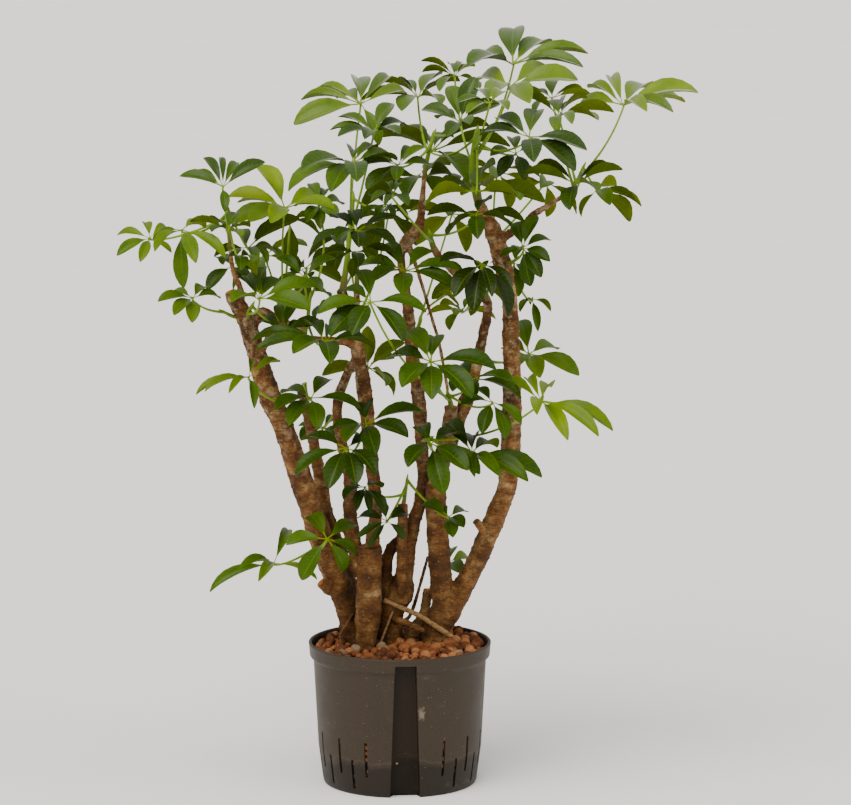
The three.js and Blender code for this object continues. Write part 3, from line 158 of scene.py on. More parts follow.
SHOOTS = shoot_table("""
shoot_left_top stem 230 247 -33 4, 228 222 -35 4, 225 202 -36 3
  leaf 223 187 -40 shade 0.55 slim 0.8 tips 191 166, 199 159, 213 158, 228 160, 265 162, 193 173
  leaf 150 238 -60 shade 0.7 slim 0.75 tips 117 235, 117 255, 144 223, 166 228, 140 262
  leaf 182 230 -110 shade 0.65 slim 0.7 tips 180 288, 193 264, 163 252, 225 258, 205 228
  leaf 228 230 -85 shade 0.6 under tips 190 222, 208 220, 236 213, 212 232, 240 238, 250 228
  leaf 238 257 -75 shade 0.5 under tips 223 264, 252 262, 240 272, 228 250
  leaf 232 266 -10 shade 0.5 tips 207 290, 248 284, 218 259, 250 262
  leaf 248 248 20 shade 0.5 under tips 300 219, 275 256, 271 266, 258 267, 232 232
shoot_left_mid stem 244 319 -23 4, 232 316 -33 3.5, 224 312 -39 3
  leaf 193 298 -70 shade 0.62 tips 158 302, 168 295, 205 287, 220 298, 192 323, 174 315
shoot_left_inner stem 288 327 8 5, 285 316 8 4.5, 284 298 8 4
  leaf 285 208 15 shade 0.8 tilt 0.6 tips 250 167, 228 196, 241 201, 318 197, 232 225, 248 222, 271 222, 335 210
  leaf 290 219 90 shade 0.5 under tips 255 240, 317 233, 262 238, 290 262, 322 226
shoot_left_front stem 249 327 -21 4.5, 248 314 -36 4, 252 306 -42 3.5
  leaf 259 299 -110 shade 0.42 tips 252 275, 262 268, 283 281, 232 303, 317 287, 310 310
  leaf 283 330 -50 shade 0.4 tips 278 305, 296 305, 262 320, 323 324, 305 328, 272 345
shoot_centre_left stem 304 338 -20 5, 306 328 -26 4.5, 308 316 -28 4, 310 298 -26 3.5
  leaf 324 342 -120 shade 0.45 tips 252 340, 256 352, 293 355, 330 364, 360 334, 365 343, 308 326, 338 334
  leaf 304 277 -60 shade 0.3 tips 335 258, 277 258, 284 285, 310 278, 322 292
  leaf 319 205 20 shade 0.45 tips 313 184, 324 190, 343 204, 338 219, 319 229, 308 222, 296 206
shoot_centre_top stem 342 292 -6 7, 345 275 -6 6, 348 250 -4 5, 351 225 -2 4.5, 353 198 0 4
  leaf 361 104 50 shade 0.65 slim 0.85 tips 294 125, 301 99, 331 101, 355 78, 327 85, 391 78, 405 92
  leaf 374 132 -40 shade 0.5 tips 330 131, 338 137, 338 117, 365 138, 392 103, 404 124, 400 134
  leaf 352 163 -95 shade 0.55 tips 301 169, 289 192, 331 192, 357 181, 368 153, 392 159, 370 148
  leaf 357 231 -120 shade 0.2 tips 312 248, 336 240, 330 217, 352 212, 402 219, 359 248, 396 247
  leaf 385 204 -50 shade 0.3 tips 361 221, 376 221, 408 222, 395 220, 370 197, 402 196
shoot_centre_knob stem 357 292 6 5, 357 275 2 4.5, 357 262 0 4
  leaf 355 252 -50 shade 0.35 under tips 323 256, 341 263, 359 268, 383 262, 395 254
  leaf 333 300 70 shade 0.5 under tips 316 318, 345 322, 352 306, 314 292
shoot_middle_top stem 424 181 26 5, 426 165 28 4.5, 430 148 30 4, 434 135 30 3.5
  leaf 418 97 100 shade 0.65 under tips 385 85, 360 102, 442 75, 460 82, 392 80, 402 112, 440 105
  leaf 398 165 -40 shade 0.5 tips 362 169, 368 158, 428 149, 412 147, 430 166, 396 181, 363 187
  leaf 423 177 75 shade 0.4 under tilt -0.95 tips 361 209, 370 187, 408 198, 432 192, 450 165, 455 180
  leaf 460 122 -55 shade 0.55 tips 450 86, 475 77, 424 107, 435 120, 500 104, 470 125, 447 137
shoot_middle_knob stem 434 249 0 6, 432 243 -2 6, 430 235 -4 4
  leaf 393 196 -110 shade 0.4 tips 399 184, 388 183, 372 201, 384 206, 408 206
  leaf 476 215 -70 shade 0.35 under tips 427 216, 448 235, 478 245, 525 223, 510 227, 492 200
shoot_middle_low stem 406 291 15 5, 405 284 3 4.5, 405 279 -8 4
  leaf 405 271 -90 shade 0.42 tips 382 245, 358 267, 372 282, 403 296, 435 252, 461 272, 455 290
shoot_right_top stem 479 205 -8 8, 476 190 -8 9, 473 170 -6 8, 474 150 -4 6, 477 132 -2 5
  leaf 455 76 110 shade 0.6 under tips 422 63, 420 70, 448 65, 462 63, 475 66, 480 88, 440 92
  leaf 513 64 60 shade 0.6 tips 514 29, 475 62, 468 66, 550 44, 588 53, 583 68
  leaf 511 86 -10 shade 0.7 tilt 0.8 tips 478 80, 552 70, 578 80, 488 98, 530 104
  leaf 490 103 -95 shade 0.6 tips 460 105, 462 112, 508 109, 476 90, 504 92
  leaf 529 137 -100 shade 0.35 tips 496 118, 537 110, 480 135, 534 162, 578 168, 585 155
  leaf 516 153 -20 shade 0.4 tips 491 157, 512 138, 540 150, 525 180, 498 176
  leaf 432 151 5 shade 0.6 under tilt -0.9 tips 375 138, 400 129, 435 137, 450 138, 490 125, 510 148, 466 181
  leaf 476 192 -60 shade 0.5 under tilt -1.15 tips 425 204, 440 189, 495 165, 520 200, 545 203, 492 188
shoot_right_branch stem 560 198 -8 4, 568 192 -10 4, 576 183 -10 3.5, 583 168 -8 3
  leaf 552 98 95 shade 0.6 under tips 555 80, 583 90, 592 97, 527 92, 535 112
  leaf 559 116 -40 shade 0.55 under tips 560 100, 587 98, 614 113, 598 120, 558 133, 572 124, 512 93
  leaf 623 105 0 shade 0.72 tips 592 84, 588 88, 650 88, 698 93, 685 103, 648 112, 672 113, 588 102
  leaf 576 184 -75 shade 0.45 under tips 610 164, 622 173, 535 163, 524 178, 574 219, 597 192
  leaf 597 190 20 shade 0.5 under tips 624 176, 637 203, 631 220, 640 214, 610 205
shoot_right_low stem 504 263 -10 4, 512 262 -26 3.5, 518 258 -34 3
  leaf 523 248 -55 shade 0.3 tips 517 222, 538 216, 550 240, 546 264, 541 277, 535 285
shoot_right_back stem 505 274 -6 4, 507 270 12 3.5, 510 266 18 3
  leaf 514 263 45 shade 0.6 tips 529 280, 521 296, 498 285, 520 246
  leaf 532 299 80 shade 0.62 slim 0.6 tips 540 331, 548 312, 520 312
shoot_inner_right stem 487 304 20 5, 486 290 10 4.5, 484 278 0 4
  leaf 482 264 -75 shade 0.12 tips 457 297, 471 311, 489 297, 504 318, 508 292, 452 266
  leaf 462 311 75 shade 0.75 under tips 441 296, 436 303, 427 316, 452 317, 453 333, 478 300, 496 319
shoot_front_right stem 452 410 -4 6, 450 401 -18 5, 448 394 -24 4
  leaf 431 362 -130 shade 0.38 tips 407 331, 434 337, 388 360, 432 400, 496 369, 472 398, 402 388
  leaf 371 302 -150 shade 0.38 tips 320 317, 327 333, 352 335, 403 342, 360 270, 426 312, 340 292
  leaf 472 379 -60 shade 0.32 tips 521 399, 512 382, 455 392, 470 404, 458 366
  leaf 492 402 -105 shade 0.35 tips 461 405, 482 433, 508 438, 519 425, 476 390
shoot_right_mid stem 477 362 18 4, 484 362 28 3.5, 492 362 34 3
  leaf 529 354 60 shade 0.75 tips 520 320, 557 350, 540 378, 579 376, 505 350, 512 370
shoot_middle_front stem 422 441 14 5, 425 440 -2 4.5, 430 438 -10 4
  leaf 541 401 -60 shade 0.82 slim 0.55 tips 527 381, 549 388, 505 384, 538 415, 611 434, 601 435, 567 441
  leaf 431 444 -115 shade 0.35 tips 408 467, 444 494, 475 480, 475 465, 460 436, 420 428
  leaf 472 453 -60 shade 0.5 slim 0.7 tips 450 422, 474 438, 497 448, 538 485, 508 473, 522 487, 484 474
shoot_centre_front stem 369 441 10 5, 362 438 -8 4.5, 357 434 -16 4
  leaf 346 448 -115 shade 0.3 tips 301 441, 296 476, 329 489, 358 485, 374 475, 375 445
  leaf 366 424 -55 shade 0.35 tips 346 443, 376 455, 424 413, 408 438, 366 402
shoot_left_fork stem 302 394 43 5, 303 386 32 4.5, 305 384 22 4
  leaf 311 398 -40 shade 0.42 tips 360 410, 282 393, 278 412, 285 424, 330 380, 318 430
shoot_centre_back stem 351 365 36 5, 354 357 46 4.5, 358 352 54 4
  leaf 368 368 115 shade 0.65 under tilt -1.3 tips 367 330, 404 341, 322 375, 345 383, 395 358, 378 395, 394 392
  leaf 322 428 120 shade 0.42 tips 300 440, 340 420, 318 412, 342 440
shoot_stem_cut stem 403 507 0 5, 405 495 -6 4, 407 480 -10 3
  leaf 365 487 -60 shade 0.22 tips 358 510, 364 513, 385 514, 348 500, 382 488
  leaf 387 521 -45 shade 0.27 tips 406 513, 358 518, 358 540, 366 547, 378 506
  leaf 449 517 -45 shade 0.5 tips 428 500, 435 514, 454 538, 463 528, 466 512
shoot_low_left stem 321 556 0 5, 316 551 -20 4, 314 549 -27 3.5
  leaf 327 539 -60 shade 0.52 back tips 310 515, 286 544, 302 580, 338 570, 355 557, 354 525
  leaf 274 563 -50 shade 0.62 slim 0.45 tips 210 592, 257 581, 288 530, 240 570
shoot_far_left stem 272 402 -17 4, 280 404 -34 3.5, 284 402 -40 3
  leaf 249 377 -50 shade 0.68 slim 0.45 tips 197 396, 203 390, 229 393, 280 362, 252 362, 254 409
shoot_low_right stem 441 562 7 4, 443 558 22 3.5, 446 556 30 3
  leaf 449 562 55 shade 0.6 tips 452 548, 470 560, 463 574, 436 556
""")

# Shoots on the far side, which the photograph hides.
HIDDEN = shoot_table("""
shoot_back_left stem 276 320 1 5, 278 311 22 4.5, 280 298 36 4
  leaf 264 256 130 lean 35 blades 5 reach 66
  leaf 306 268 170 lean 45 blades 5 reach 62
shoot_back_centre stem 357 342 4 5, 358 330 26 4.5, 360 312 42 4
  leaf 346 236 150 lean 30 blades 5 reach 64
  leaf 388 214 190 lean 40 blades 5 reach 68
shoot_back_middle stem 411 346 16 5, 415 336 38 4.5, 420 322 52 4
  leaf 452 214 170 lean 38 blades 5 reach 66
  leaf 470 280 140 lean 55 blades 5 reach 56
shoot_back_right stem 502 262 -8 5, 500 250 14 4.5, 499 236 28 4
  leaf 498 172 150 lean 35 blades 5 reach 66
  leaf 546 182 110 lean 45 blades 5 reach 60
""")

# Ends of limbs that were pruned and show their cut wood: node and number of the limb.
PRUNED = {"trunk_middle": (2,), "trunk_right": (0,), "trunk_left": (0, 4), "stub_cut": (0,)}
# How far wood has lost its bark and dried.
DRYNESS = {"stick_fallen": 0.85, "stub_cut": 0.25, "roots_dark": 0.1, "roots_pale": 0.75}
# The radius in millimetres from which a limb has the full relief of old bark, and the least that one has.
STOUT = 7.0
LEAST_RELIEF = 0.15
# How much finer the mesh of a piece of a single limb is.
FINER = 0.6

# The camera, and how pixels stand for millimetres.
EYE = np.array([31.0, -4886.0, 1235.0])
PITCH = math.radians(8.98)
FOCAL = 4135.0
PICTURE = (851, 805)
SENSOR = 36.0
RADIUS_PER_PIXEL = 0.63

# The rules that the CAD lays its leaves out by. Steps in depth and bows of the stalk keep a leaf clear of the
# others.
STEPS = (0, 14, -14, 28, -28, 42, -42, 58, -58, 76, -76, 96, -96, 118, -118)
BOWS = (
    (0, 0), (0.14, 0), (-0.14, 0), (0, 0.14), (0, -0.14), (0.26, 0.1), (-0.26, 0.1), (0.2, -0.2), (-0.2, -0.2),
)
# A miss of less than this is a match with a corner of the CAD node.
HELD = 0.05
# The ring round the hub that the leaflets start on, and how far below the hub the stalk ends. The stalk's
# radius there, what it gains down to the stem, where along it that is probed, and where and how far it sags.
HUB_RADIUS = 3.1
STALK_TOP = 3.0
STALK_WIDE = 1.1
STALK_SPREAD = 0.5
STALK_PROBE = 0.4
STALK_BEND = 0.6
STALK_SAG = 0.2
# A tip that is seen less than this many pixels below the hub lies behind it.
LEVEL_MARGIN = 2
# The least length of a leaflet to what is seen of it, how much of its length it has from the whole leaf, and how
# far the leaf's axis turns away from the leaflets' mean direction.
LEAST_SEEN = 1.01
EVEN_SHARE = 0.8
AXIS_SHARE = 0.9
# A leaflet: half its thickness, its width to its length, its arch to its length, its most rise or droop in
# radians. One shorter than SMALL_REACH has a station less. One that is in the way is made narrower in steps.
BLADE_HALF = 0.42
WIDTH_SHARE = 0.44
ARCH = 0.1
MOST_RISE = 1.1
SMALL_REACH = 76.0
NARROWER = 0.85
# The least reach and number of a leaf's leaflets, and how far they are kept apart round the axis: by LEAST_TURN,
# or by even parts of CROWDED_TURNS where they are many.
LEAST_REACH = 46.0
LEAST_BLADES = 5
LEAST_TURN = math.radians(22)
CROWDED_TURNS = 5.6
SPREAD_ROUNDS = 40
# A gap wider than this gets a leaflet more, and that one's share of the leaf's reach.
MOST_GAP = 2.7
FILL_SHARE = 0.66
# The lean of a leaf towards the viewer, by how round its tips lie, with its ends, and the lean of one seen from
# under.
FACING = (0.15, 0.8)
FACING_ROUND = 1.15
FACING_FLAT = 0.2
AWAY_LEAST = 0.35
AWAY_ROUND = 0.75
# A leaf at the back of the crown: how far round its first leaflet is, and how its leaflets droop and reach.
WHORL_START = 0.4
DROOP, DROOP_SWAY = 0.45, 0.12
REACH_MEAN, REACH_SWAY = 0.9, 0.1

# What the scene adds to the CAD's shoots. The bud: how far it goes on from the stem, and its radii.
BUD_SWELL, BUD_SWELL_SHARE = 3.5, 0.8
BUD_TIP, BUD_TIP_RADIUS = 8.5, 0.35
# A stem is brown where it leaves the wood, and greener by a step at each station.
STEM_AGES = (0.85, 0.3, 0.1)
# Where the lowest leaf stalk leaves the stem, and how far above it the highest one does, as shares of the stem.
STALKS_FROM, STALKS_OVER = 0.55, 0.45
# A leaf stalk from the stem up to the leaf: share of its curve, radius and age. Then the knob that the leaflets
# grow from: how far along the leaf's axis, radius and age.
STALK_STATIONS = (
    (1.0, 2.3, 0.45), (0.94, 1.95, 0.35), (0.8, 1.6, 0.15), (0.6, 1.45, 0.1), (0.4, 1.35, 0.05),
    (0.2, 1.3, 0.0), (0.0, 1.3, 0.0),
)
KNOB_STATIONS = ((-1.2, 1.6, 0.1), (0.2, 2.0, 0.2), (1.1, 1.1, 0.2))
BLADE_START = 0.8
# Real leaflets are a little narrower than the CAD's.
WIDTHS = (0.86, 0.95)
# How the tone of a leaf is drawn: the most that chance gives, its mean, how much of it a shade judged
# leaves, and how far a leaflet strays from its leaf.
TONE_CHANCE, TONE_MEAN, TONE_LEFT, TONE_STRAY = 0.66, 0.33, 0.25, 0.14
# A leaf without a shade is younger and fresher towards the top and the outside of the crown.
CROWN_FOOT, CROWN_HEIGHT, CROWN_HALF = 450, 450, 400
TONE_LEAST, TONE_OF_YOUTH = 0.07, 0.15

# The pot: radius and height where its wall bends. Its groove: the heights it goes from and to, and there its
# half width and how far its inner face is from the axis. The slots' heights in their two rows.
WALL_BENDS = ((92.5, 0), (98.6, 46.0), (104.3, 152.0))
BAND_RADIUS = 108.6
POT_FLOOR = 3.0
FLOOR_RADIUS = 70
GROOVE_TURN = math.radians(4.2)
GROOVE_ENDS = (-2.0, 164.0)
GROOVE_HALF = (17.8, 12.5)
GROOVE_DEPTH = (78.5, 93.5)
SLOT_ROWS = ((24.0, 68.0), (7.5, 44.0))
# The pot's profile as radius, height and how far the groove is open: up to the wall, then from shoulder to rim.
FOOT_PROFILE = [(72, 1.2, 0.0), (73.5, 0, 0.0), (89.5, 0, 1.0), (91.1, 0.3, 1.0), (92.1, 1.3, 1.0)]
WALL_HEIGHTS = (3, 12, 22, 32, 40, 46, 52, 66, 84, 102, 120, 136, 148)
INNER_HEIGHTS = (152, 120, 80, 46, 20, POT_FLOOR)
RIM_PROFILE = [
    (104.3, 150.8, 1.0), (104.8, 152, 1.0), (106.5, 153.6, 1.0), (107.9, 154.8, 1.0), (108.6, 156, 1.0),
    (108.9, 158.5, 1.0), (109.3, 162.6, 1.0), (109.4, 163.5, 0.9), (109.45, 164, 0.0), (109.5, 164.8, 0.0),
    (109.65, 168.2, 0.0), (110, 169.4, 0.0), (110, 171.1, 0.0), (109.6, 171.8, 0.0), (108.9, 172, 0.0),
]
# The inside of the rim, its radius counted from the inside of the band.
LIP_PROFILE = (
    (0.8, 172, 0.0), (0.2, 171.5, 0.0), (0, 170.5, 0.0), (0, 166.4, 0.0), (0, 165.6, 1.0), (0, 160, 1.0),
    (0, 155.5, 1.0),
)
# The inside of the wall below and above the step under the band, and between which heights it steps, in metres.
WALL_INSIDE = (0.1014, 0.1058)
WALL_STEP = (0.153, 0.157)

# The clay's solid bed: how far inside the wall's outer face it ends, and its foot and top. The CAD's clay ends
# at CLAY_LEVEL, and rooted limbs go on down by ROOTED from there, slimmer from COVERED below it.
BED_INSET = 2.65
BED_ENDS = (3.35, 148.5)
CLAY_LEVEL = 160.0
ROOTED = 60.0
COVERED = 8.0
FOOT_SHARE = 0.8


# ---------------------------------------------------------------- the pixel grid in space

def unit(vector):
    return vector / np.linalg.norm(vector)


def view_ray(px, py):
    across = (px - PICTURE[0] / 2) / FOCAL
    up = (PICTURE[1] / 2 - py) / FOCAL
    sine, cosine = math.sin(PITCH), math.cos(PITCH)
    return unit(np.array([across, cosine + up * sine, up * cosine - sine]))


def seen(px, py, depth):
    """The point at that depth on a pixel's line of sight."""
    ray = view_ray(px, py)
    return EYE + ray * ((depth - EYE[1]) / ray[1])


def stations_of(path):
    """Place and radius of each station of a path."""
    return [(seen(px, py, depth), width * RADIUS_PER_PIXEL) for px, py, depth, width in path]


def on_curve(curve, share):
    """A point of the Bezier curve through three points."""
    start, bend, end = curve
    return start * (1 - share) ** 2 + bend * (2 * share * (1 - share)) + end * share ** 2


# ---------------------------------------------------------------- how the leaves are laid out

def across_axis(axis):
    """Directions across a leaf's axis: towards the viewer, and to the side."""
    front = np.array([0.0, -1.0, 0.0])
    front = unit(front - axis * front.dot(axis))
    return front, np.cross(axis, front)


def spread(blades):
    """Keeps the leaflets' turns round the axis apart from each other."""
    least = min(LEAST_TURN, CROWDED_TURNS / len(blades))
    blades.sort(key=lambda blade: blade["turn"])
    for _ in range(SPREAD_ROUNDS):
        for i, a in enumerate(blades):
            b = blades[(i + 1) % len(blades)]
            gap = b["turn"] - a["turn"] + (2 * math.pi if i + 1 == len(blades) else 0)
            if gap < least:
                a["turn"] -= (least - gap) / 2
                b["turn"] += (least - gap) / 2


def widest_gap(blades):
    """The leaflet before the widest gap, and the gap."""
    found = (0, 0.0)
    for i, blade in enumerate(blades):
        after = blades[i + 1]["turn"] if i + 1 < len(blades) else blades[0]["turn"] + 2 * math.pi
        if after - blade["turn"] > found[1]:
            found = (i, after - blade["turn"])
    return found


def lean_of(leaf):
    """How far a leaf leans towards the viewer: the rounder its tips lie round the hub, the further."""
    if "tilt" in leaf:
        return leaf["tilt"]
    px, py, _ = leaf["hub"]
    across = [x - px for x, _ in leaf["tips"]] + [0]
    down = [y - py for _, y in leaf["tips"]] + [0]
    roundness = (max(down) - min(down)) / (max(across) - min(across))
    if leaf.get("under"):
        return -AWAY_LEAST - AWAY_ROUND * roundness
    return min(max(FACING_ROUND * roundness - FACING_FLAT, FACING[0]), FACING[1])


def seen_plan(leaf, shift):
    """A leaf laid out from its leaflets' tips: hub, axis, and each leaflet's turn, rise and reach."""
    px, py, depth = leaf["hub"]
    hub = seen(px, py, depth + shift)
    slim = leaf.get("slim", 1.0)
    rays = []
    for tip_x, tip_y in leaf["tips"]:
        ray = view_ray(tip_x, tip_y)
        along = (hub - EYE).dot(ray)
        flat = np.linalg.norm(EYE + ray * along - hub)
        behind = 1 if leaf.get("back") or tip_y < py + LEVEL_MARGIN else -1
        rays.append((ray, along, flat, behind))
    longest = max(flat for _, _, flat, _ in rays)
    reach_most = max(longest, LEAST_REACH)
    chords = []
    for ray, along, flat, behind in rays:
        reach = max(flat * LEAST_SEEN, reach_most * (EVEN_SHARE + (1 - EVEN_SHARE) * flat / longest))
        half = math.sqrt(reach * reach - flat * flat)
        chords.append(EYE + ray * (along + behind * half) - hub)
    mean = sum(unit(chord) for chord in chords) / len(chords)
    mean[2] = min(mean[2], 0.0)
    axis = np.array([0.0, 0.0, 1.0]) - AXIS_SHARE * mean
    axis[1] -= lean_of(leaf)
    axis = unit(axis)
    front, side = across_axis(axis)
    blades = []
    for chord in chords:
        length = np.linalg.norm(chord)
        rise = min(max(math.asin(chord.dot(axis) / length), -MOST_RISE), MOST_RISE)
        turn = math.atan2(chord.dot(side), chord.dot(front))
        blades.append({"turn": turn, "rise": rise, "reach": length, "narrow": slim})
    spread(blades)
    rise = sum(blade["rise"] for blade in blades) / len(blades)
    while len(blades) < LEAST_BLADES or widest_gap(blades)[1] > MOST_GAP:
        after, gap = widest_gap(blades)
        turn = blades[after]["turn"] + gap / 2
        blade = {"turn": turn, "rise": rise, "reach": reach_most * FILL_SHARE, "narrow": slim}
        blades.insert(after + 1, blade)
    return {"hub": hub, "axis": axis, "blades": blades}


def hidden_plan(leaf, shift):
    """A leaf at the back of the crown: an even whorl of drooping leaflets."""
    px, py, depth = leaf["hub"]
    hub = seen(px, py, depth + shift)
    outward = unit(np.array([hub[0], hub[1], 0.0]))
    lean = math.radians(leaf["lean"])
    axis = np.array([0.0, 0.0, math.cos(lean)]) + outward * math.sin(lean)
    blades = []
    for k in range(int(leaf["blades"])):
        turn = -math.pi + 2 * math.pi * (k + WHORL_START) / leaf["blades"]
        rise = -DROOP - DROOP_SWAY * math.cos(3 * turn)
        reach = leaf["reach"] * (REACH_MEAN + REACH_SWAY * math.sin(2 * turn))
        blades.append({"turn": turn, "rise": rise, "reach": reach, "narrow": 1.0})
    return {"hub": hub, "axis": axis, "blades": blades}


def blade_frame(plan, blade):
    """A leaflet's direction from the hub, its chord to the tip, and the directions across it and up."""
    front, side = across_axis(plan["axis"])
    out = front * math.cos(blade["turn"]) + side * math.sin(blade["turn"])
    chord = out * math.cos(blade["rise"]) + plan["axis"] * math.sin(blade["rise"])
    across = unit(np.cross(plan["axis"], chord))
    return out, chord, across, np.cross(chord, across)


def blade_half(blade):
    """Half the width of a leaflet."""
    return blade["reach"] * WIDTH_SHARE * blade["narrow"] / 2


def blade_stations(plan, blade):
    """The CAD leaflet's stations: middle, half width, direction across, and the normal of its face."""
    out, chord, across, lift = blade_frame(plan, blade)
    root = plan["hub"] + out * HUB_RADIUS
    tip = plan["hub"] + chord * blade["reach"]
    arch = 4 * ARCH * blade["reach"]
    shares = [(0.63, 1.0)] if blade["reach"] < SMALL_REACH else [(0.4, 0.8), (0.73, 1.0)]
    stations = []
    for share, width in shares + [(1.0, 0.0)]:
        middle = root + (tip - root) * share + lift * (arch * share * (1 - share))
        along = unit(tip - root + lift * (arch * (1 - 2 * share)))
        stations.append((middle, blade_half(blade) * width, across, unit(np.cross(along, across))))
    return stations


def stalk_curve(root, plan, bow):
    """The three points of the Bezier curve that a leaf's stalk follows, from the leaf down to the shoot."""
    end = plan["hub"] - plan["axis"] * STALK_TOP
    length = np.linalg.norm(root - end)
    bend = root + (end - root) * STALK_BEND - plan["axis"] * (STALK_SAG * length)
    bend = bend + np.array([bow[0] * length, bow[1] * length, 0.0])
    return end, bend, root


def stalk_root(stem, share):
    """The point of the shoot's stem that a leaf's stalk leaves from."""
    points = [place for place, _ in stations_of(stem)]
    place = share * (len(points) - 1)
    i = min(int(place), len(points) - 2)
    return points[i] + (points[i + 1] - points[i]) * (place - i)


# ---------------------------------------------------------------- reading where a CAD node holds its leaves

def point_tree(points):
    """Points, ready to be searched."""
    tree = KDTree(len(points))
    for i, point in enumerate(points):
        tree.insert(point, i)
    tree.balance()
    return tree


def read(data, name, width=1):
    """One value of each element of a mesh's data, or one row."""
    values = np.empty(len(data) * width)
    data.foreach_get(name, values)
    return values if width == 1 else values.reshape(-1, width)


def corner_tree(node):
    """The corners of a CAD node, in millimetres."""
    corners = read(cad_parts[node].data.vertices, "co", 3)
    return point_tree(np.unique(np.round(corners / MM, 3), axis=0))


def miss(corners, station, width=1.0):
    """How far the nearest corner is from where a leaflet's station has one."""
    middle, half, across, face = station
    return corners.find(middle + across * (half * width) + face * BLADE_HALF)[2]


def plan_as_built(leaf, plan_of, corners):
    """The leaf's plan at the step in depth where its leaflets' tips are corners of the CAD node."""
    best = None
    for step in STEPS:
        plan = plan_of(leaf, step)
        misses = sorted(miss(corners, blade_stations(plan, blade)[-1]) for blade in plan["blades"])
        middle_miss = misses[len(misses) // 2]
        if best is None or middle_miss < best[0]:
            best = (middle_miss, plan)
        if middle_miss < HELD:
            break
    if best[0] > HELD:
        raise RuntimeError(f"the leaf at {leaf['hub']} isn't where its CAD node says: {best[0]:.2f} mm off")
    plan = best[1]
    built = [blade for blade in plan["blades"] if miss(corners, blade_stations(plan, blade)[-1]) < HELD]
    for blade in built:
        station = blade_stations(plan, blade)[0]
        widths = [NARROWER ** k for k in range(9)]
        misses = [miss(corners, station, width) for width in widths]
        if min(misses) < HELD:
            blade["narrow"] *= widths[misses.index(min(misses))]
    plan["blades"] = built
    return plan


def curve_as_built(root, plan, corners):
    """The stalk's curve whose middle is ringed by corners of the CAD node."""
    radius = STALK_WIDE + STALK_SPREAD * STALK_PROBE

    def off(bow):
        ring = corners.find_n(on_curve(stalk_curve(root, plan, bow), STALK_PROBE), 3)
        return max(abs(distance - radius) for _, _, distance in ring)

    return stalk_curve(root, plan, min(BOWS, key=off))


# ---------------------------------------------------------------- small tools

def linear(code):
    """An sRGB hex colour as linear red, green, blue and 1."""
    parts = [int(code[i:i + 2], 16) / 255 for i in (1, 3, 5)]
    return tuple(c / 12.92 if c <= 0.04045 else ((c + 0.055) / 1.055) ** 2.4 for c in parts) + (1.0,)


def add_node(tree, kind, *values, stops=(), **settings):
    """Adds a node: its kind without the family's name, with its operation after a space.

    Values fill the open sockets in their order, and a dict fills the sockets it names. A value is a number,
    a vector, a hex colour, an output, a node that gives its first open output, or a list of nodes. A noise
    texture thus takes its place, scale, detail and roughness, and a map range its value and both ranges."""
    kind, _, operation = kind.partition(" ")
    families = ("ShaderNode",) if tree.type == "SHADER" else ("GeometryNode", "FunctionNode", "ShaderNode", "")
    node = tree.nodes.new(next(family + kind for family in families if hasattr(bpy.types, family + kind)))
    if operation:
        node.operation = operation
    for name, value in settings.items():
        setattr(node, name, value)
    for i, (position, code) in enumerate(stops):
        elements = node.color_ramp.elements
        element = elements[i] if i < len(elements) else elements.new(position)
        element.position, element.color = position, linear(code)
    sockets = (socket for socket in node.inputs if socket.enabled)
    filled = []
    for value in values:
        if isinstance(value, dict):
            filled += [(node.inputs[name], part) for name, part in value.items()]
        else:
            filled.append((next(sockets), value))
    for socket, value in filled:
        for part in value if isinstance(value, list) else [value]:
            if isinstance(part, bpy.types.Node):
                part = next(output for output in part.outputs if output.enabled)
            if isinstance(part, bpy.types.NodeSocket):
                tree.links.new(part, socket)
            elif isinstance(part, Color):
                socket.default_value = (*part, 1.0)
            else:
                coded = isinstance(part, str) and part.startswith("#")
                socket.default_value = linear(part) if coded else part
    return node


def new_material(name):
    """An empty material, what adds a node to it, and the object's own coordinates."""
    material = bpy.data.materials.new(name)
    material.use_nodes = True
    material.node_tree.nodes.clear()
    add = partial(add_node, material.node_tree)
    return material, add, add("TexCoord").outputs["Object"]


def new_tree(name, values):
    """A Geometry Nodes tree with a geometry and the named values as its inputs, and what adds a node to it."""
    tree = bpy.data.node_groups.new(name, "GeometryNodeTree")
    for label, (kind, default) in {"Geometry": ("Geometry", None), **values}.items():
        item = tree.interface.new_socket(label, in_out="INPUT", socket_type="NodeSocket" + kind)
        if default is not None:
            item.default_value = default
    tree.interface.new_socket("Geometry", in_out="OUTPUT", socket_type="NodeSocketGeometry")
    return tree, partial(add_node, tree), tree.nodes.new("NodeGroupInput").outputs


def end_tree(tree, add, geometry, material):
    """Ends a tree in Realize Instances and Set Material."""
    last = add("RealizeInstances", geometry)
    add("NodeGroupOutput", add("SetMaterial", {"Geometry": last, "Material": material}))
    return tree


def new_object(name, data):
    made = bpy.data.objects.new(name, data)
    bpy.context.scene.collection.objects.link(made)
    return made


def new_mesh(name, points, edges, faces):
    mesh = bpy.data.meshes.new(name)
    mesh.from_pydata(points, edges, faces)
    return mesh


def settle_mesh(piece):
    """Turns what a piece's modifiers make into its plain mesh, and removes them."""
    graph = bpy.context.evaluated_depsgraph_get()
    mesh = bpy.data.meshes.new_from_object(piece.evaluated_get(graph), depsgraph=graph)
    piece.modifiers.clear()
    mesh.name = piece.name
    piece.data = mesh
    return piece


def drawn(piece, tree, values):
    """Draws a piece's mesh through a Geometry Nodes tree."""
    modifier = piece.modifiers.new(tree.name, "NODES")
    modifier.node_group = tree
    for item in tree.interface.items_tree:
        if item.in_out == "INPUT" and item.name in values:
            modifier[item.identifier] = values[item.name]
    return settle_mesh(piece)


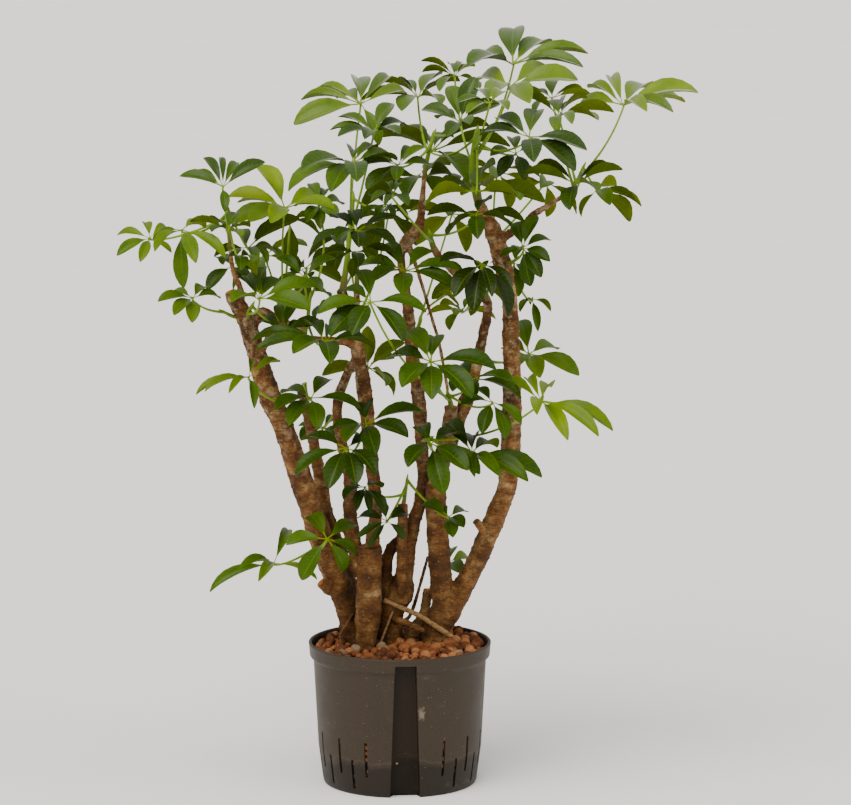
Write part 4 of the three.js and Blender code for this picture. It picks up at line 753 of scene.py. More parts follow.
def finished(piece, slot, *nodes):
    """Parents a finished piece to the body it rides on and hides the CAD nodes it stands for. The slot is not
    used.
    """
    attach(piece, BODY)
    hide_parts(*nodes)


def store(mesh, name, values, kind="FLOAT", domain="POINT"):
    """Keeps values on a mesh as a named attribute."""
    attribute = mesh.attributes.new(name, kind, domain)
    key = "vector" if kind == "FLOAT_VECTOR" else "value"
    attribute.data.foreach_set(key, np.asarray(values, dtype=float).ravel())


class Sketch:
    """Points and lines with values, which Geometry Nodes draw a piece from. Millimetres in, metres out."""

    KINDS = {
        "thickness": "FLOAT", "leaflet": "FLOAT", "run": "FLOAT_VECTOR", "lift": "FLOAT_VECTOR",
        "size": "FLOAT_VECTOR", "tone": "FLOAT", "age": "FLOAT",
    }

    def __init__(self):
        self.points = []
        self.edges = []
        self.values = {name: [] for name in self.KINDS}

    def point(self, place, **values):
        self.points.append(tuple(place * MM))
        for name, kind in self.KINDS.items():
            nothing = (0.0, 0.0, 0.0) if kind == "FLOAT_VECTOR" else 0.0
            self.values[name].append(values.get(name, nothing))

    def path(self, stations, ages=None):
        """A line through stations of place and radius."""
        for i, (place, radius) in enumerate(stations):
            if i > 0:
                self.edges.append((len(self.points) - 1, len(self.points)))
            self.point(place, thickness=radius * MM, age=ages[i] if ages else 0.0)

    def mesh(self, name):
        mesh = new_mesh(name, self.points, self.edges, [])
        for value, kind in self.KINDS.items():
            store(mesh, value, self.values[value], kind)
        return mesh


def lofted(name, rings, first, last):
    """A closed mesh through rings of the same number of points, ended by a point at each end."""
    count = len(rings[0])
    points = [tuple(p) for ring in rings for p in ring] + [first, last]
    faces = []
    for i in range(len(rings) - 1):
        for k in range(count):
            a, b = i * count + k, i * count + (k + 1) % count
            faces.append((a, b, b + count, a + count))
    start = count * len(rings)
    top = start - count
    for k in range(count):
        faces.append((start, (k + 1) % count, k))
        faces.append((start + 1, top + k, top + (k + 1) % count))
    mesh = new_mesh(name, points, [], faces)
    mesh.shade_smooth()
    return mesh


# ---------------------------------------------------------------- the pot

def bent(start, corner, end, count):
    """Points of a rounded corner."""
    return [on_curve((start, corner, end), k / (count - 1)) for k in range(count)]


def on_circle(radius, turns):
    """Points of a circle in the plane, turned from the groove's side."""
    return [np.array([radius * math.sin(t), -radius * math.cos(t)]) for t in turns]


def outline(radius, half, depth, openness, edge, segments):
    """The pot's outline at one height as points in the plane: a circle with the groove let into it."""
    mouth_points, depth_points, back_steps, depth_edge = 5, 4, 6, 2.5
    mouth = math.asin(half / radius)
    start = mouth + edge / radius
    arc = on_circle(radius, np.linspace(start, 2 * math.pi - start, segments + 1))
    left, right = (np.array([x, -radius * math.cos(mouth)]) for x in (-half, half))
    inner_left, inner_right = np.array([-half, -depth]), np.array([half, -depth])
    # How far the corners at the groove's mouth and in its depth are rounded.
    inward, aside, back = np.array([0.0, edge]), np.array([depth_edge, 0.0]), np.array([0.0, -depth_edge])
    back_wall = inner_right - inner_left - 2 * aside
    notch = bent(arc[-1], left, left + inward, mouth_points)[1:]
    notch += bent(inner_left + back, inner_left, inner_left + aside, depth_points)
    notch += [inner_left + aside + back_wall * k / back_steps for k in range(1, back_steps)]
    notch += bent(inner_right - aside, inner_right, inner_right + back, depth_points)
    notch += bent(right + inward, right, arc[0], mouth_points)[:-1]
    closed = on_circle(radius, np.linspace(-start, start, len(notch) + 2)[1:-1])
    notch = [c + (n - c) * openness for c, n in zip(closed, notch)]
    sine, cosine = math.sin(GROOVE_TURN), math.cos(GROOVE_TURN)
    return np.array(arc + notch) @ np.array([[cosine, sine], [-sine, cosine]])


def pot_rings(profile, grow, edge, segments):
    """Rings of the pot's wall at each (radius, height, openness of the groove)."""
    rings = []
    low, high = GROOVE_ENDS
    for radius, height, openness in profile:
        share = (min(height, high) - low) / (high - low)
        half, depth = (at[0] + (at[1] - at[0]) * share for at in (GROOVE_HALF, GROOVE_DEPTH))
        ring = outline(radius, half + grow, depth - grow, openness, edge, segments)
        rings.append([(x * MM, y * MM, height * MM) for x, y in ring])
    return rings


def wall_profile(inset, heights):
    """Radius of the pot's wall at each height, held in by an inset."""
    radii, bends = zip(*WALL_BENDS)
    return [(np.interp(z, bends, radii) - inset, z, 1.0) for z in heights]


def slot_tree():
    """Cuts the upright slots round the foot, in two rows that take turns, on both sides of the groove."""
    tree, add, given = new_tree("slots round the foot", {
        "Slot": ("Object", None), "Slots a side": ("Int", 13), "First": ("Float", math.radians(28.1)),
        "Pitch": ("Float", math.radians(11.25)), "Groove": ("Float", GROOVE_TURN),
        "Material": ("Material", None),
    })
    a_side = given["Slots a side"]
    line = add("MeshLine", {"Count": add("Math MULTIPLY", a_side, 2.0), "Offset": (0, 0, 0)})
    index = add("InputIndex")
    right = add("Math FLOOR", add("Math DIVIDE", index, a_side))
    sign = add("Math MULTIPLY_ADD", right, 2.0, -1.0)
    step = add("Math MODULO", index, a_side)
    turn = add("Math MULTIPLY_ADD", step, given["Pitch"], given["First"])
    turn = add("Math MULTIPLY_ADD", turn, sign, given["Groove"])
    row = add("Math MODULO", step, 2.0)
    middles = [(low + high) / 2 * MM for low, high in SLOT_ROWS]
    lengths = [(high - low) * MM for low, high in SLOT_ROWS]
    height, length = (add("MapRange", row, 0.0, 1.0, *ends) for ends in (middles, lengths))
    place = add("CombineXYZ", {"Z": height})
    cuts = add("InstanceOnPoints", {
        "Points": add("SetPosition", {"Geometry": line, "Position": place}),
        "Instance": add("ObjectInfo", {"Object": given["Slot"]}).outputs["Geometry"],
        "Rotation": add("EulerToRotation", add("CombineXYZ", {"Z": turn})),
        "Scale": add("CombineXYZ", 1.0, 1.0, length),
    })
    cut = add("MeshBoolean DIFFERENCE", {
        "Mesh 1": given["Geometry"], "Mesh 2": add("RealizeInstances", cuts),
    }, solver="EXACT")
    return end_tree(tree, add, cut, given["Material"])


def slot_cutter(width):
    """A slot as a solid one metre high, with half-round ends, standing across the pot's wall at -Y."""
    inside, outside = -0.084, -0.106
    half = width / 2
    # The share of the height that an end takes, once a slot is scaled to its 40 mm or so.
    round_share = half / 0.040
    turns = np.linspace(0, math.pi, 7)
    ring = [(half * math.cos(t), 0.5 - round_share + round_share * math.sin(t)) for t in turns]
    ring += [(-x, -z) for x, z in ring]
    rings = [[(x, y, z) for x, z in ring] for y in (inside, outside)]
    return lofted("slot", rings, (0, inside, 0), (0, outside, 0))


def pot_plastic(values):
    """Dark polypropylene, injection moulded.

    The moulded skin is smooth and half matt. Years by a window have dulled it, watering leaves it darker
    and damp near the foot, and dust and lime sit on it as small pale specks."""
    material, add, where = new_material("moulded dark polypropylene")
    apart = add("SeparateXYZ", where)
    height = apart.outputs["Z"]
    # Cloudy fading, some 40 mm across.
    cloud = add("TexNoise", where, 25.0, 4.0, 0.6)
    # The damp band: up to about 45 mm, higher beside the groove, with an edge that wanders by 10 mm.
    edge = add("TexNoise", where, 16.0, 4.0, 0.6)
    wander = add("Math MULTIPLY_ADD", edge, -0.045, height)
    aside = add("Math ABSOLUTE", apart.outputs["X"])
    arch = add("MapRange", aside, 0.0, 0.055, -0.008, 0.0, interpolation_type="SMOOTHSTEP")
    level = add("Math ADD", wander, arch)
    damp = add("MapRange", level, 0.009, 0.017, 0.8, 0.0, interpolation_type="SMOOTHSTEP")
    # The tide line that the water left: a pale thread about 1.5 mm wide above the damp.
    tide = add("Math ABSOLUTE", add("Math SUBTRACT", level, 0.0175))
    tide = add("MapRange", tide, 0.0002, 0.0014, 0.07, 0.0)
    # Dust and lime: specks of about half a millimetre.
    speck = add("TexVoronoi", where, 260.0)
    dot = add("MapRange", speck, 0.08, 0.15, 0.8, 0.0)
    rare = add("SeparateColor", speck.outputs["Color"])
    coarse = add("Math MULTIPLY", dot, add("Math GREATER_THAN", rare, 0.9))
    # A fine salting of lime in grains about 1 mm apart. Water has washed it off the damp band.
    salt = add("MapRange", add("TexNoise", where, 1100.0, 2.0, 0.7), 0.56, 0.74, 0.0, 0.15)
    salt = add("Math MULTIPLY", salt, add("Math SUBTRACT", 1.0, damp))
    dust = add("Math MAXIMUM", coarse, salt)
    # Pale wiped smudges.
    smear = add("TexNoise", add("Mapping", {"Vector": where, "Scale": (1.0, 1.0, 2.5)}), 18.0, 5.0, 0.7)
    smudge = add("MapRange", smear, 0.6, 0.78, 0.0, 0.16)
    # One scuff right of the groove, some 8 mm wide and 20 mm high, and a crumb of clay low in the groove.
    torn = add("TexNoise", where, 260.0, 3.0)
    marks = []
    for middle, half_size, most in (
        ((0.0262, -0.1, 0.105), (0.0042, 0.03, 0.010), 0.55),
        ((-0.003, -0.08, 0.040), (0.0015, 0.03, 0.0015), 0.9),
    ):
        away = add("VectorMath DIVIDE", add("VectorMath SUBTRACT", where, middle), half_size)
        ragged = add("Math MULTIPLY_ADD", torn, 2.2, add("VectorMath LENGTH", away))
        marks.append(add("MapRange", ragged, 1.3, 2.1, most, 0.0))
    scuff, crumb = marks
    dirt = dust
    for more in (smudge, tide, scuff):
        dirt = add("Math MAXIMUM", dirt, more)
    # Painted shade in the groove, where the light doesn't reach; it also dulls the shine there.
    wall = add("MapRange", height, 0.0, 0.152, 0.0935, 0.1043)
    radius = add("VectorMath LENGTH", add("VectorMath MULTIPLY", where, (1.0, 1.0, 0.0)))
    groove_shade = add("MapRange", add("Math SUBTRACT", wall, radius), 0.003, 0.009, 0.0, 0.55)
    colour = values.colour
    # The coats in their order; the fourth is painted shade in the groove.
    for amount, coat in (
        (cloud, "#382e23"), (damp, "#19130d"), (dirt, "#8d8272"), (groove_shade, "#150f09"), (crumb, "#c79a62"),
    ):
        colour = add("Mix", amount, colour, coat, data_type="RGBA")
    gloss = add("MapRange", cloud, 0.3, 0.7, 0.42, 0.58)
    # The fine grain of the mould, about 1 mm, and shallow waves left by shrinkage.
    grain = add("TexNoise", where, 900.0, 2.0)
    relief = add("Math MULTIPLY_ADD", add("TexNoise", where, 30.0, 1.0), 6.0, grain)
    add("OutputMaterial", add("BsdfPrincipled", {
        "Base Color": colour, "Metallic": 0.0, "IOR": 1.49,
        "Roughness": add("Math MULTIPLY_ADD", dirt, 0.35, gloss),
        "Specular IOR Level": add("MapRange", groove_shade, 0.0, 1.0, 0.25, 0.06),
        "Normal": add("Bump", {"Strength": 0.35, "Distance": 0.0001, "Height": relief}),
    }))
    return material


def make_pot(values):
    wall, edge, segments = values.wall / MM, values.edge / MM, values.segments
    outer = FOOT_PROFILE + wall_profile(0, WALL_HEIGHTS) + RIM_PROFILE
    inner = [(BAND_RADIUS - wall + more, height, openness) for more, height, openness in LIP_PROFILE]
    inner += wall_profile(wall, INNER_HEIGHTS) + [(FLOOR_RADIUS, POT_FLOOR, 0.0)]
    rings = pot_rings(outer, 0, edge, segments) + pot_rings(inner, wall, edge, segments)
    foot, floor = FOOT_PROFILE[0][1] * MM, POT_FLOOR * MM
    pot = new_object("pot_shell", lofted("pot_shell", rings, (0, 0, foot), (0, 0, floor)))
    cutter = new_object("slot_shape", slot_cutter(values.slot_width))
    drawn(pot, slot_tree(), {"Slot": cutter, "Material": pot_plastic(values)})
    bpy.data.objects.remove(cutter)
    pot.data.shade_smooth()
    pot.data.set_sharp_from_angle(angle=math.radians(50))
    finished(pot, "pot_plastic", "pot")


# ---------------------------------------------------------------- the clay granules

def granule_tree():
    """Strews granules over a surface in two layers: a denser one sunk below, and one on top."""
    tree, add, given = new_tree("granules on the surface", {
        "Spacing": ("Float", 0.0115), "Smallest": ("Float", 0.0045), "Largest": ("Float", 0.0085),
        "Depth of a layer": ("Float", 0.006), "Lumps": ("Float", 0.0009), "Seed": ("Int", 3),
        "Material": ("Material", None),
    })
    layers = []
    for number, (share, drop) in enumerate(((1.0, 0.0), (0.8, -1.0))):
        sunk = add("Math MULTIPLY", given["Depth of a layer"], drop)
        surface = add("SetPosition", {"Geometry": given["Geometry"], "Offset": add("CombineXYZ", {"Z": sunk})})
        seed = add("Math ADD", given["Seed"], 10.0 * number)
        points = add("DistributePointsOnFaces", {
            "Mesh": surface, "Seed": seed, "Density Max": 60000.0,
            "Distance Min": add("Math MULTIPLY", given["Spacing"], share),
        }, distribute_method="POISSON")
        # Small granules are commoner than large ones.
        chance = add("Math POWER", add("RandomValue", 0.0, 1.0, {"Seed": seed}), 1.6)
        size = add("MapRange", chance, 0.0, 1.0, given["Smallest"], given["Largest"])
        # No granule reaches into the pot's wall, which steps outwards at the band. Lumps and the stretch
        # of a granule add to its size.
        place = add("InputPosition")
        height = add("SeparateXYZ", place).outputs["Z"]
        radius = add("VectorMath LENGTH", add("VectorMath MULTIPLY", place, (1.0, 1.0, 0.0)))
        wall = add("MapRange", add("Math SUBTRACT", height, size), *WALL_STEP, *WALL_INSIDE)
        bulk = add("Math MULTIPLY_ADD", size, 1.2, given["Lumps"])
        held = add("Math MINIMUM", add("Math DIVIDE", add("Math SUBTRACT", wall, bulk), radius), 1.0)
        inward = add("CombineXYZ", held, held, 1.0)
        stretch, turn = (
            add("RandomValue", least, most, {"Seed": first + number}, data_type="FLOAT_VECTOR")
            for least, most, first in (
                ((0.85, 0.8, 0.72), (1.2, 1.05, 0.95), 20), ((0, 0, 0), (6.28, 6.28, 6.28), 40),
            )
        )
        granules = add("InstanceOnPoints", {
            "Points": add("SetPosition", {
                "Geometry": points, "Position": add("VectorMath MULTIPLY", place, inward),
            }),
            "Instance": add("MeshIcoSphere", {"Radius": 1.0, "Subdivisions": 2}),
            "Rotation": add("EulerToRotation", turn),
            "Scale": add("VectorMath SCALE", stretch, size),
        })
        tone = add("RandomValue", 0.0, 1.0, {"Seed": 60 + number})
        layers.append(add("StoreNamedAttribute", {
            "Geometry": granules, "Name": "tone", "Value": tone,
        }, domain="INSTANCE"))
    solid = add("RealizeInstances", add("JoinGeometry", layers))
    lump = add("TexNoise", add("InputPosition"), 130.0, 2.0)
    raised = add("Math MULTIPLY", add("MapRange", lump, 0.3, 0.7, -1.0, 1.0), given["Lumps"])
    offset = add("VectorMath SCALE", add("InputNormal"), raised)
    lumpy = add("SetPosition", {"Geometry": solid, "Offset": offset})
    return end_tree(tree, add, add("SetShadeSmooth", lumpy), given["Material"])


def fired_clay(values):
    """Expanded clay, fired in a rotary kiln.

    The skin is dull and porous, red-brown where it was hot and greyer in some granules, with a bloom of pale
    lime from the water."""
    material, add, where = new_material("kiln fired expanded clay")
    tone, packed = (add("Attribute", attribute_name=name).outputs["Fac"] for name in ("tone", "packed"))
    body = add("ValToRGB", tone, stops=(
        (0.0, "#331709"), (0.22, "#5a2e16"), (0.5, "#834a26"), (0.84, "#b0764a"), (0.93, "#6e5a42"),
        (1.0, "#8d7d66"),
    ))
    tint = add("Mix", 0.12, body, values.colour, data_type="RGBA")
    # Patches of some 3 mm, paler where lime has dried.
    patch = add("TexNoise", where, 330.0, 4.0, 0.65)
    pale = add("Mix", add("MapRange", patch, 0.54, 0.74, 0.0, 0.5), tint, "#a07c54", data_type="RGBA")
    # Pores of about 0.8 mm, painted dark with the shade that falls in them.
    hole = add("MapRange", add("TexVoronoi", where, 900.0), 0.1, 0.45, 0.0, 1.0)
    deep = add("Mix", hole, "#26140a", pale, data_type="RGBA")
    # Painted shade on the sides that face down, the darker the more they face down.
    facing = add("SeparateXYZ", add("TexCoord").outputs["Normal"]).outputs["Z"]
    underside_shade = add("MapRange", facing, -0.45, 0.35, 0.75, 0.0)
    deep = add("Mix", underside_shade, deep, "#1f0f07", data_type="RGBA")
    # Against the pot's wall the packed granules show as rounds of some 8 mm, black gaps of painted shade.
    gap = add("MapRange", add("TexVoronoi", where, 170.0), 0.4, 0.5, 0.0, packed)
    relief = add("Math MULTIPLY_ADD", patch, 1.5, hole)
    add("OutputMaterial", add("BsdfPrincipled", {
        "Base Color": add("Mix", gap, deep, "#080503", data_type="RGBA"),
        "Roughness": 0.92, "IOR": 1.5, "Specular IOR Level": 0.25,
        "Normal": add("Bump", {"Strength": 0.8, "Distance": 0.0005, "Height": relief}),
    }))
    return material


def granule_surface(values):
    """The surface that the granules lie on: a net, open where a stem comes through and in the groove."""
    cell, most, stem_gap = 4.0, 101.0, 4.5
    groove_half, groove_back = 21, -83
    # The heap rises towards the back and a little to the right.
    slope_x, slope_y = 0.45, 0.75
    feet = [stations_of(path)[0] for limbs in WOOD.values() for rooted, path in limbs if rooted]
    sine, cosine = math.sin(GROOVE_TURN), math.cos(GROOVE_TURN)
    points, faces, numbers = [], [], {}

    def corner(i, j):
        if (i, j) not in numbers:
            x, y = i * cell, j * cell
            height = values.level / MM + values.heap / MM * (slope_x * x + slope_y * y) / most
            numbers[i, j] = len(points)
            points.append((x * MM, y * MM, height * MM))
        return numbers[i, j]

    count = int(most / cell) + 1
    for i in range(-count, count):
        for j in range(-count, count):
            x, y = (i + 0.5) * cell, (j + 0.5) * cell
            blocked = any(math.hypot(x - at[0], y - at[1]) < radius + stem_gap for at, radius in feet)
            in_groove = abs(x * cosine + y * sine) < groove_half and -x * sine + y * cosine < groove_back
            if math.hypot(x, y) < most and not blocked and not in_groove:
                faces.append((corner(i, j), corner(i + 1, j), corner(i + 1, j + 1), corner(i, j + 1)))
    return new_mesh("clay_granules", points, [], faces)


def make_clay(values):
    foot, top = BED_ENDS
    inner_radius, edge, segments = 66, 1.2, 96
    profile = [(inner_radius, foot, 0.0)] + wall_profile(BED_INSET, (foot, 20, 46, 90, 130, 148))
    rings = pot_rings(profile + [(inner_radius, top, 0.0)], BED_INSET, edge, segments)
    bed = lofted("clay_bed", rings, (0, 0, foot * MM), (0, 0, top * MM))
    material = fired_clay(values)
    bed.materials.append(material)
    store(bed, "tone", np.random.default_rng(5).uniform(0.5, 0.9, len(bed.vertices)))
    store(bed, "packed", np.ones(len(bed.vertices)))
    finished(new_object("clay_bed", bed), "clay_granules", "clay")
    granules = new_object("clay_granules", granule_surface(values))
    drawn(granules, granule_tree(), {
        "Spacing": values.spacing, "Smallest": values.smallest, "Largest": values.largest, "Material": material,
    })
    finished(granules, "clay_granules", "clay")


# ---------------------------------------------------------------- the wood

def tubes_along(add, given, measured=False):
    """Round tubes along paths, as thick as the paths say; measured ones keep how far along each point is."""
    thickness = add("InputNamedAttribute", {"Name": "thickness"})
    curve = add("SetCurveRadius", {"Curve": add("MeshToCurve", given["Geometry"]), "Radius": thickness})
    curve = add("CurveSplineType", curve, spline_type="CATMULL_ROM")
    curve = add("ResampleCurve", {0: curve, "Length": given["Step"]}, mode="LENGTH")
    if measured:
        run = add("SplineParameter").outputs["Length"]
        curve = add("StoreNamedAttribute", {"Geometry": curve, "Name": "along", "Value": run})
    return add("CurveToMesh", {
        "Curve": curve, "Scale": add("InputRadius"), "Fill Caps": True,
        "Profile Curve": add("CurvePrimitiveCircle", {"Resolution": given["Sides"], "Radius": 1.0}),
    })


def limb_tree():
    """Draws round limbs along paths, as thick as the paths say."""
    tree, add, given = new_tree("limbs along paths", {
        "Sides": ("Int", 14), "Step": ("Float", 0.003), "Material": ("Material", None),
    })
    return end_tree(tree, add, tubes_along(add, given, measured=True), given["Material"])


def ring_saw(add, where, along, spacing):
    """What rises from 0 to 1 and falls again along a limb, once a spacing, drifting by broad patches."""
    broad = add("TexNoise", where, 55.0, 2.0)
    drift = add("Math MULTIPLY_ADD", broad, 1.6, add("Math DIVIDE", along, spacing))
    return broad, add("Math PINGPONG", drift, 1.0)


def bark_tree():
    """Raises the bark: leaf scars as rings along the limb, and a rough skin."""
    tree, add, given = new_tree("bark relief", {
        "Roughness": ("Float", 0.0012), "Rings": ("Float", 0.00045), "Ring spacing": ("Float", 0.011),
        "Material": ("Material", None),
    })
    place = add("InputPosition")
    along, cut, stout = (add("InputNamedAttribute", {"Name": name}) for name in ("along", "cut", "stout"))
    rough = add("TexNoise", place, 230.0, 3.0, 0.6)
    broad, saw = ring_saw(add, place, along, given["Ring spacing"])
    skin = add("Math ADD", add("Math MULTIPLY_ADD", broad, 4.0, rough), -2.5)
    skin = add("Math MULTIPLY", skin, given["Roughness"])
    ridge = add("MapRange", saw, 0.7, 1.0, 0.0, 1.0, interpolation_type="SMOOTHSTEP")
    ridge = add("Math MULTIPLY", ridge, given["Rings"])
    # Thin limbs have smoother bark than the old trunks, and cut ends have none.
    whole = add("Math MULTIPLY", add("Math SUBTRACT", 1.0, cut), stout)
    amount = add("Math MULTIPLY", add("Math ADD", skin, ridge), whole)
    offset = add("VectorMath SCALE", add("InputNormal"), amount)
    raised = add("SetPosition", {"Geometry": given["Geometry"], "Offset": offset})
    return end_tree(tree, add, raised, given["Material"])


def grown_bark(values):
    """The bark of an old umbrella plant, grown round the stem.

    It is thin and dull, brown with pale grey weathered patches, dark in its cracks, ringed by old leaf scars
    and dotted with pale corky pores. Pruned ends show orange-brown wood."""
    material, add, where = new_material("weathered brown bark")
    along, cut, stout, dry = (
        add("Attribute", attribute_name=name).outputs["Fac"] for name in ("along", "cut", "stout", "dry")
    )
    # Weathering in patches of some 20 mm, down to grains of 1 mm.
    patch = add("TexNoise", where, 50.0, 6.0, 0.64)
    body = add("ValToRGB", patch, stops=(
        (0.3, "#2c1608"), (0.42, "#593615"), (0.52, "#794f25"), (0.61, "#946e40"), (0.7, "#b89668"),
        (0.8, "#d2bd95"),
    ))
    # Dark blotches of some 60 mm, and a film of algae near the damp granules.
    blotch = add("TexNoise", where, 17.0, 4.0, 0.6)
    shaded = add("MapRange", blotch, 0.4, 0.56, 0.5, 0.0, interpolation_type="SMOOTHSTEP")
    height = add("SeparateXYZ", where).outputs["Z"]
    film = add("Math MULTIPLY", add("MapRange", height, 0.17, 0.3, 0.45, 0.0), patch)
    # Pale lichen in patches of some 12 mm, higher up where the bark is dry.
    spread_up = add("MapRange", height, 0.28, 0.5, 0.0, 0.7)
    lichen = add("MapRange", add("TexNoise", where, 85.0, 6.0, 0.7), 0.5, 0.63, 0.0, spread_up)
    # Wrinkles that run round the stem, about 1.5 mm apart.
    crack = add("TexNoise", add("Mapping", {"Vector": where, "Scale": (1.0, 1.0, 4.0)}), 170.0, 4.0, 0.65)
    dark = add("MapRange", crack, 0.34, 0.54, 0.62, 0.0)
    # Leaf scars: a dark line every 7 mm or so along the limb.
    _, saw = ring_saw(add, where, along, values.ring_spacing)
    scar = add("MapRange", saw, 0.8, 0.97, 0.0, add("Math MULTIPLY", stout, 0.45))
    # Corky pores and dry flakes, about 2 mm.
    pore = add("TexVoronoi", where, 300.0)
    rare = add("SeparateColor", pore.outputs["Color"])
    flake = add("MapRange", pore, 0.1, 0.4, 0.45, 0.0)
    flake = add("Math MULTIPLY", flake, add("Math GREATER_THAN", rare, 0.86))
    # The pruned ends.
    wood = add("ValToRGB", crack, stops=((0.3, "#7a3c12"), (0.6, "#b06a2a")))
    # The coats in their order. Dry wood has lost its bark and gone pale.
    colour = body
    for amount, coat in (
        (0.1, values.colour), (shaded, "#2c1707"), (film, "#3f3512"), (lichen, "#ad9874"), (dry, "#96764c"),
        (dark, "#2e190c"), (scar, "#3a2110"), (flake, "#a88453"), (cut, wood),
    ):
        colour = add("Mix", amount, colour, coat, data_type="RGBA")
    relief = add("Math MULTIPLY_ADD", crack, 1.6, flake)
    add("OutputMaterial", add("BsdfPrincipled", {
        "Base Color": colour, "Roughness": add("MapRange", patch, 0.3, 0.7, 0.72, 0.95),
        "IOR": 1.45, "Specular IOR Level": 0.3,
        "Normal": add("Bump", {"Strength": 0.6, "Distance": 0.0005, "Height": relief}),
    }))
    return material


def limb_stations(rooted, path):
    """A limb's stations; a rooted one goes on straight down into the granules."""
    stations = stations_of(path)
    if rooted:
        foot, radius = stations[0]
        low = np.array([foot[0], foot[1], CLAY_LEVEL - ROOTED])
        level = np.array([foot[0], foot[1], CLAY_LEVEL - COVERED])
        stations[:1] = [(low, radius * FOOT_SHARE), (level, radius), (foot, radius)]
    return stations


def mark_wood(piece, tubes, ends, dryness):
    """Keeps on the wood's points how far along a limb they are, how stout, which are pruned ends, how dry."""
    # A pruned end: how far below and above its middle, and what share of its radius.
    below, above, share = -1.3, 3, 0.92
    tree = point_tree([vertex.co for vertex in tubes.vertices])
    nearest = [tree.find(vertex.co)[1] for vertex in piece.data.vertices]
    along, radii = (read(tubes.attributes[name].data, "value")[nearest] for name in ("along", "thickness"))
    places = read(piece.data.vertices, "co", 3) / MM
    cut = np.zeros(len(places))
    for place, direction, radius in ends:
        away = places - place
        high = away @ direction
        flat = np.linalg.norm(away - np.outer(high, direction), axis=1)
        cut[(high > below) & (high < above) & (flat < radius * share)] = 1.0
    store(piece.data, "along", along)
    store(piece.data, "stout", np.clip(radii / (STOUT * MM), LEAST_RELIEF, 1.0))
    store(piece.data, "cut", cut)
    store(piece.data, "dry", np.full(len(cut), dryness))


def make_roots(material):
    """Thin roots that hang in front of the trunks, drawn as they are, without joining."""
    tree = limb_tree()
    for name, roots in ROOTS.items():
        sketch = Sketch()
        for rooted, path in roots:
            sketch.path(limb_stations(rooted, path))
        piece = drawn(new_object(name, sketch.mesh(name)), tree, {"Material": material, "Sides": 8})
        store(piece.data, "dry", np.full(len(piece.data.vertices), DRYNESS[name]))
        piece.data.shade_smooth()
        finished(piece, "bark")


def make_wood(values):
    material = grown_bark(values)
    make_roots(material)
    limbs_tree, relief_tree = limb_tree(), bark_tree()
    for node, limbs in WOOD.items():
        sketch = Sketch()
        ends = []
        for number, (rooted, path) in enumerate(limbs):
            stations = limb_stations(rooted, path)
            sketch.path(stations)
            if number in PRUNED.get(node, ()):
                top, radius = stations[-1]
                ends.append((top, unit(top - stations[-2][0]), radius))
        wood = drawn(new_object("wood_" + node, sketch.mesh(node)), limbs_tree, {"Material": material})
        tubes = wood.data
        joined = wood.modifiers.new("Join the limbs", "REMESH")
        joined.mode = "VOXEL"
        joined.voxel_size = values.voxel if len(limbs) > 1 else values.voxel * FINER
        joined.use_smooth_shade = True
        eased = wood.modifiers.new("Ease the forks", "SMOOTH")
        eased.factor = 0.5
        eased.iterations = 3
        settle_mesh(wood)
        mark_wood(wood, tubes, ends, DRYNESS.get(node, 0.0))
        drawn(wood, relief_tree, {
            "Material": material, "Ring spacing": values.ring_spacing, "Rings": values.rings,
        })
        wood.data.shade_smooth()
        finished(wood, "bark", node)


# ---------------------------------------------------------------- the leafy shoots

def leaflet_shape():
    """One leaflet, one metre long from the leaf's hub to its tip and one metre in half width.

    A thin stalk, then a blade that widens to two thirds of its length and ends in a blunt point, folded a
    little along its midrib, swollen a little on both sides of it, arched, and with a rib raised below."""
    # Share of the length, share of the half width, half thickness as a share of the length.
    stations = (
        (0.0, 0.070, 0.013), (0.13, 0.070, 0.0115), (0.19, 0.20, 0.006), (0.29, 0.49, 0.0034),
        (0.42, 0.80, 0.0033), (0.56, 0.97, 0.0032), (0.70, 0.99, 0.0031), (0.83, 0.82, 0.003),
        (0.935, 0.50, 0.003), (1.0, 0.13, 0.003),
    )
    # The points round a station: across, and on which face.
    around = ((-1.0, 0.0), (-0.5, 1.0), (0.0, 1.0), (0.5, 1.0), (1.0, 0.0), (0.0, -1.0))
    # Where the blade begins, and over what share it comes up to its fold, swelling and rib. The rib then fades.
    begins, over, most_fold, most_swell, most_rib, fading = 0.14, 0.12, 0.11, 0.022, 0.006, 0.8
    points, faces, values = [], [], []
    for share, width, thick in stations:
        blade = min(max((share - begins) / over, 0.0), 1.0)
        for across, face in around:
            fold = most_fold * blade * width * abs(across)
            swell = most_swell * blade * width if abs(across) == 0.5 else 0.0
            rib = most_rib * blade * (1 - fading * share) if face < 0 else 0.0
            arch = 4 * ARCH * share * (1 - share)
            points.append((share, across * width, arch + fold + swell + face * thick - rib))
            values.append((across, share))
    wide = len(around)
    for i in range(len(stations) - 1):
        for k in range(wide):
            a, b = i * wide + k, i * wide + (k + 1) % wide
            faces.append((a, a + wide, b + wide, b))
    last = len(points) - wide
    faces += [tuple(range(wide)), tuple(range(last + wide - 1, last - 1, -1))]
    mesh = new_mesh("leaflet", points, [], faces)
    mesh.shade_smooth()
    mesh.set_sharp_from_angle(angle=math.radians(60))
    for name, column in zip(("leaf_across", "leaf_along"), zip(*values)):
        store(mesh, name, column)
    sides = [0.0 if polygon.normal.z < 0 else 1.0 for polygon in mesh.polygons]
    store(mesh, "leaf_side", sides, domain="FACE")
    return mesh


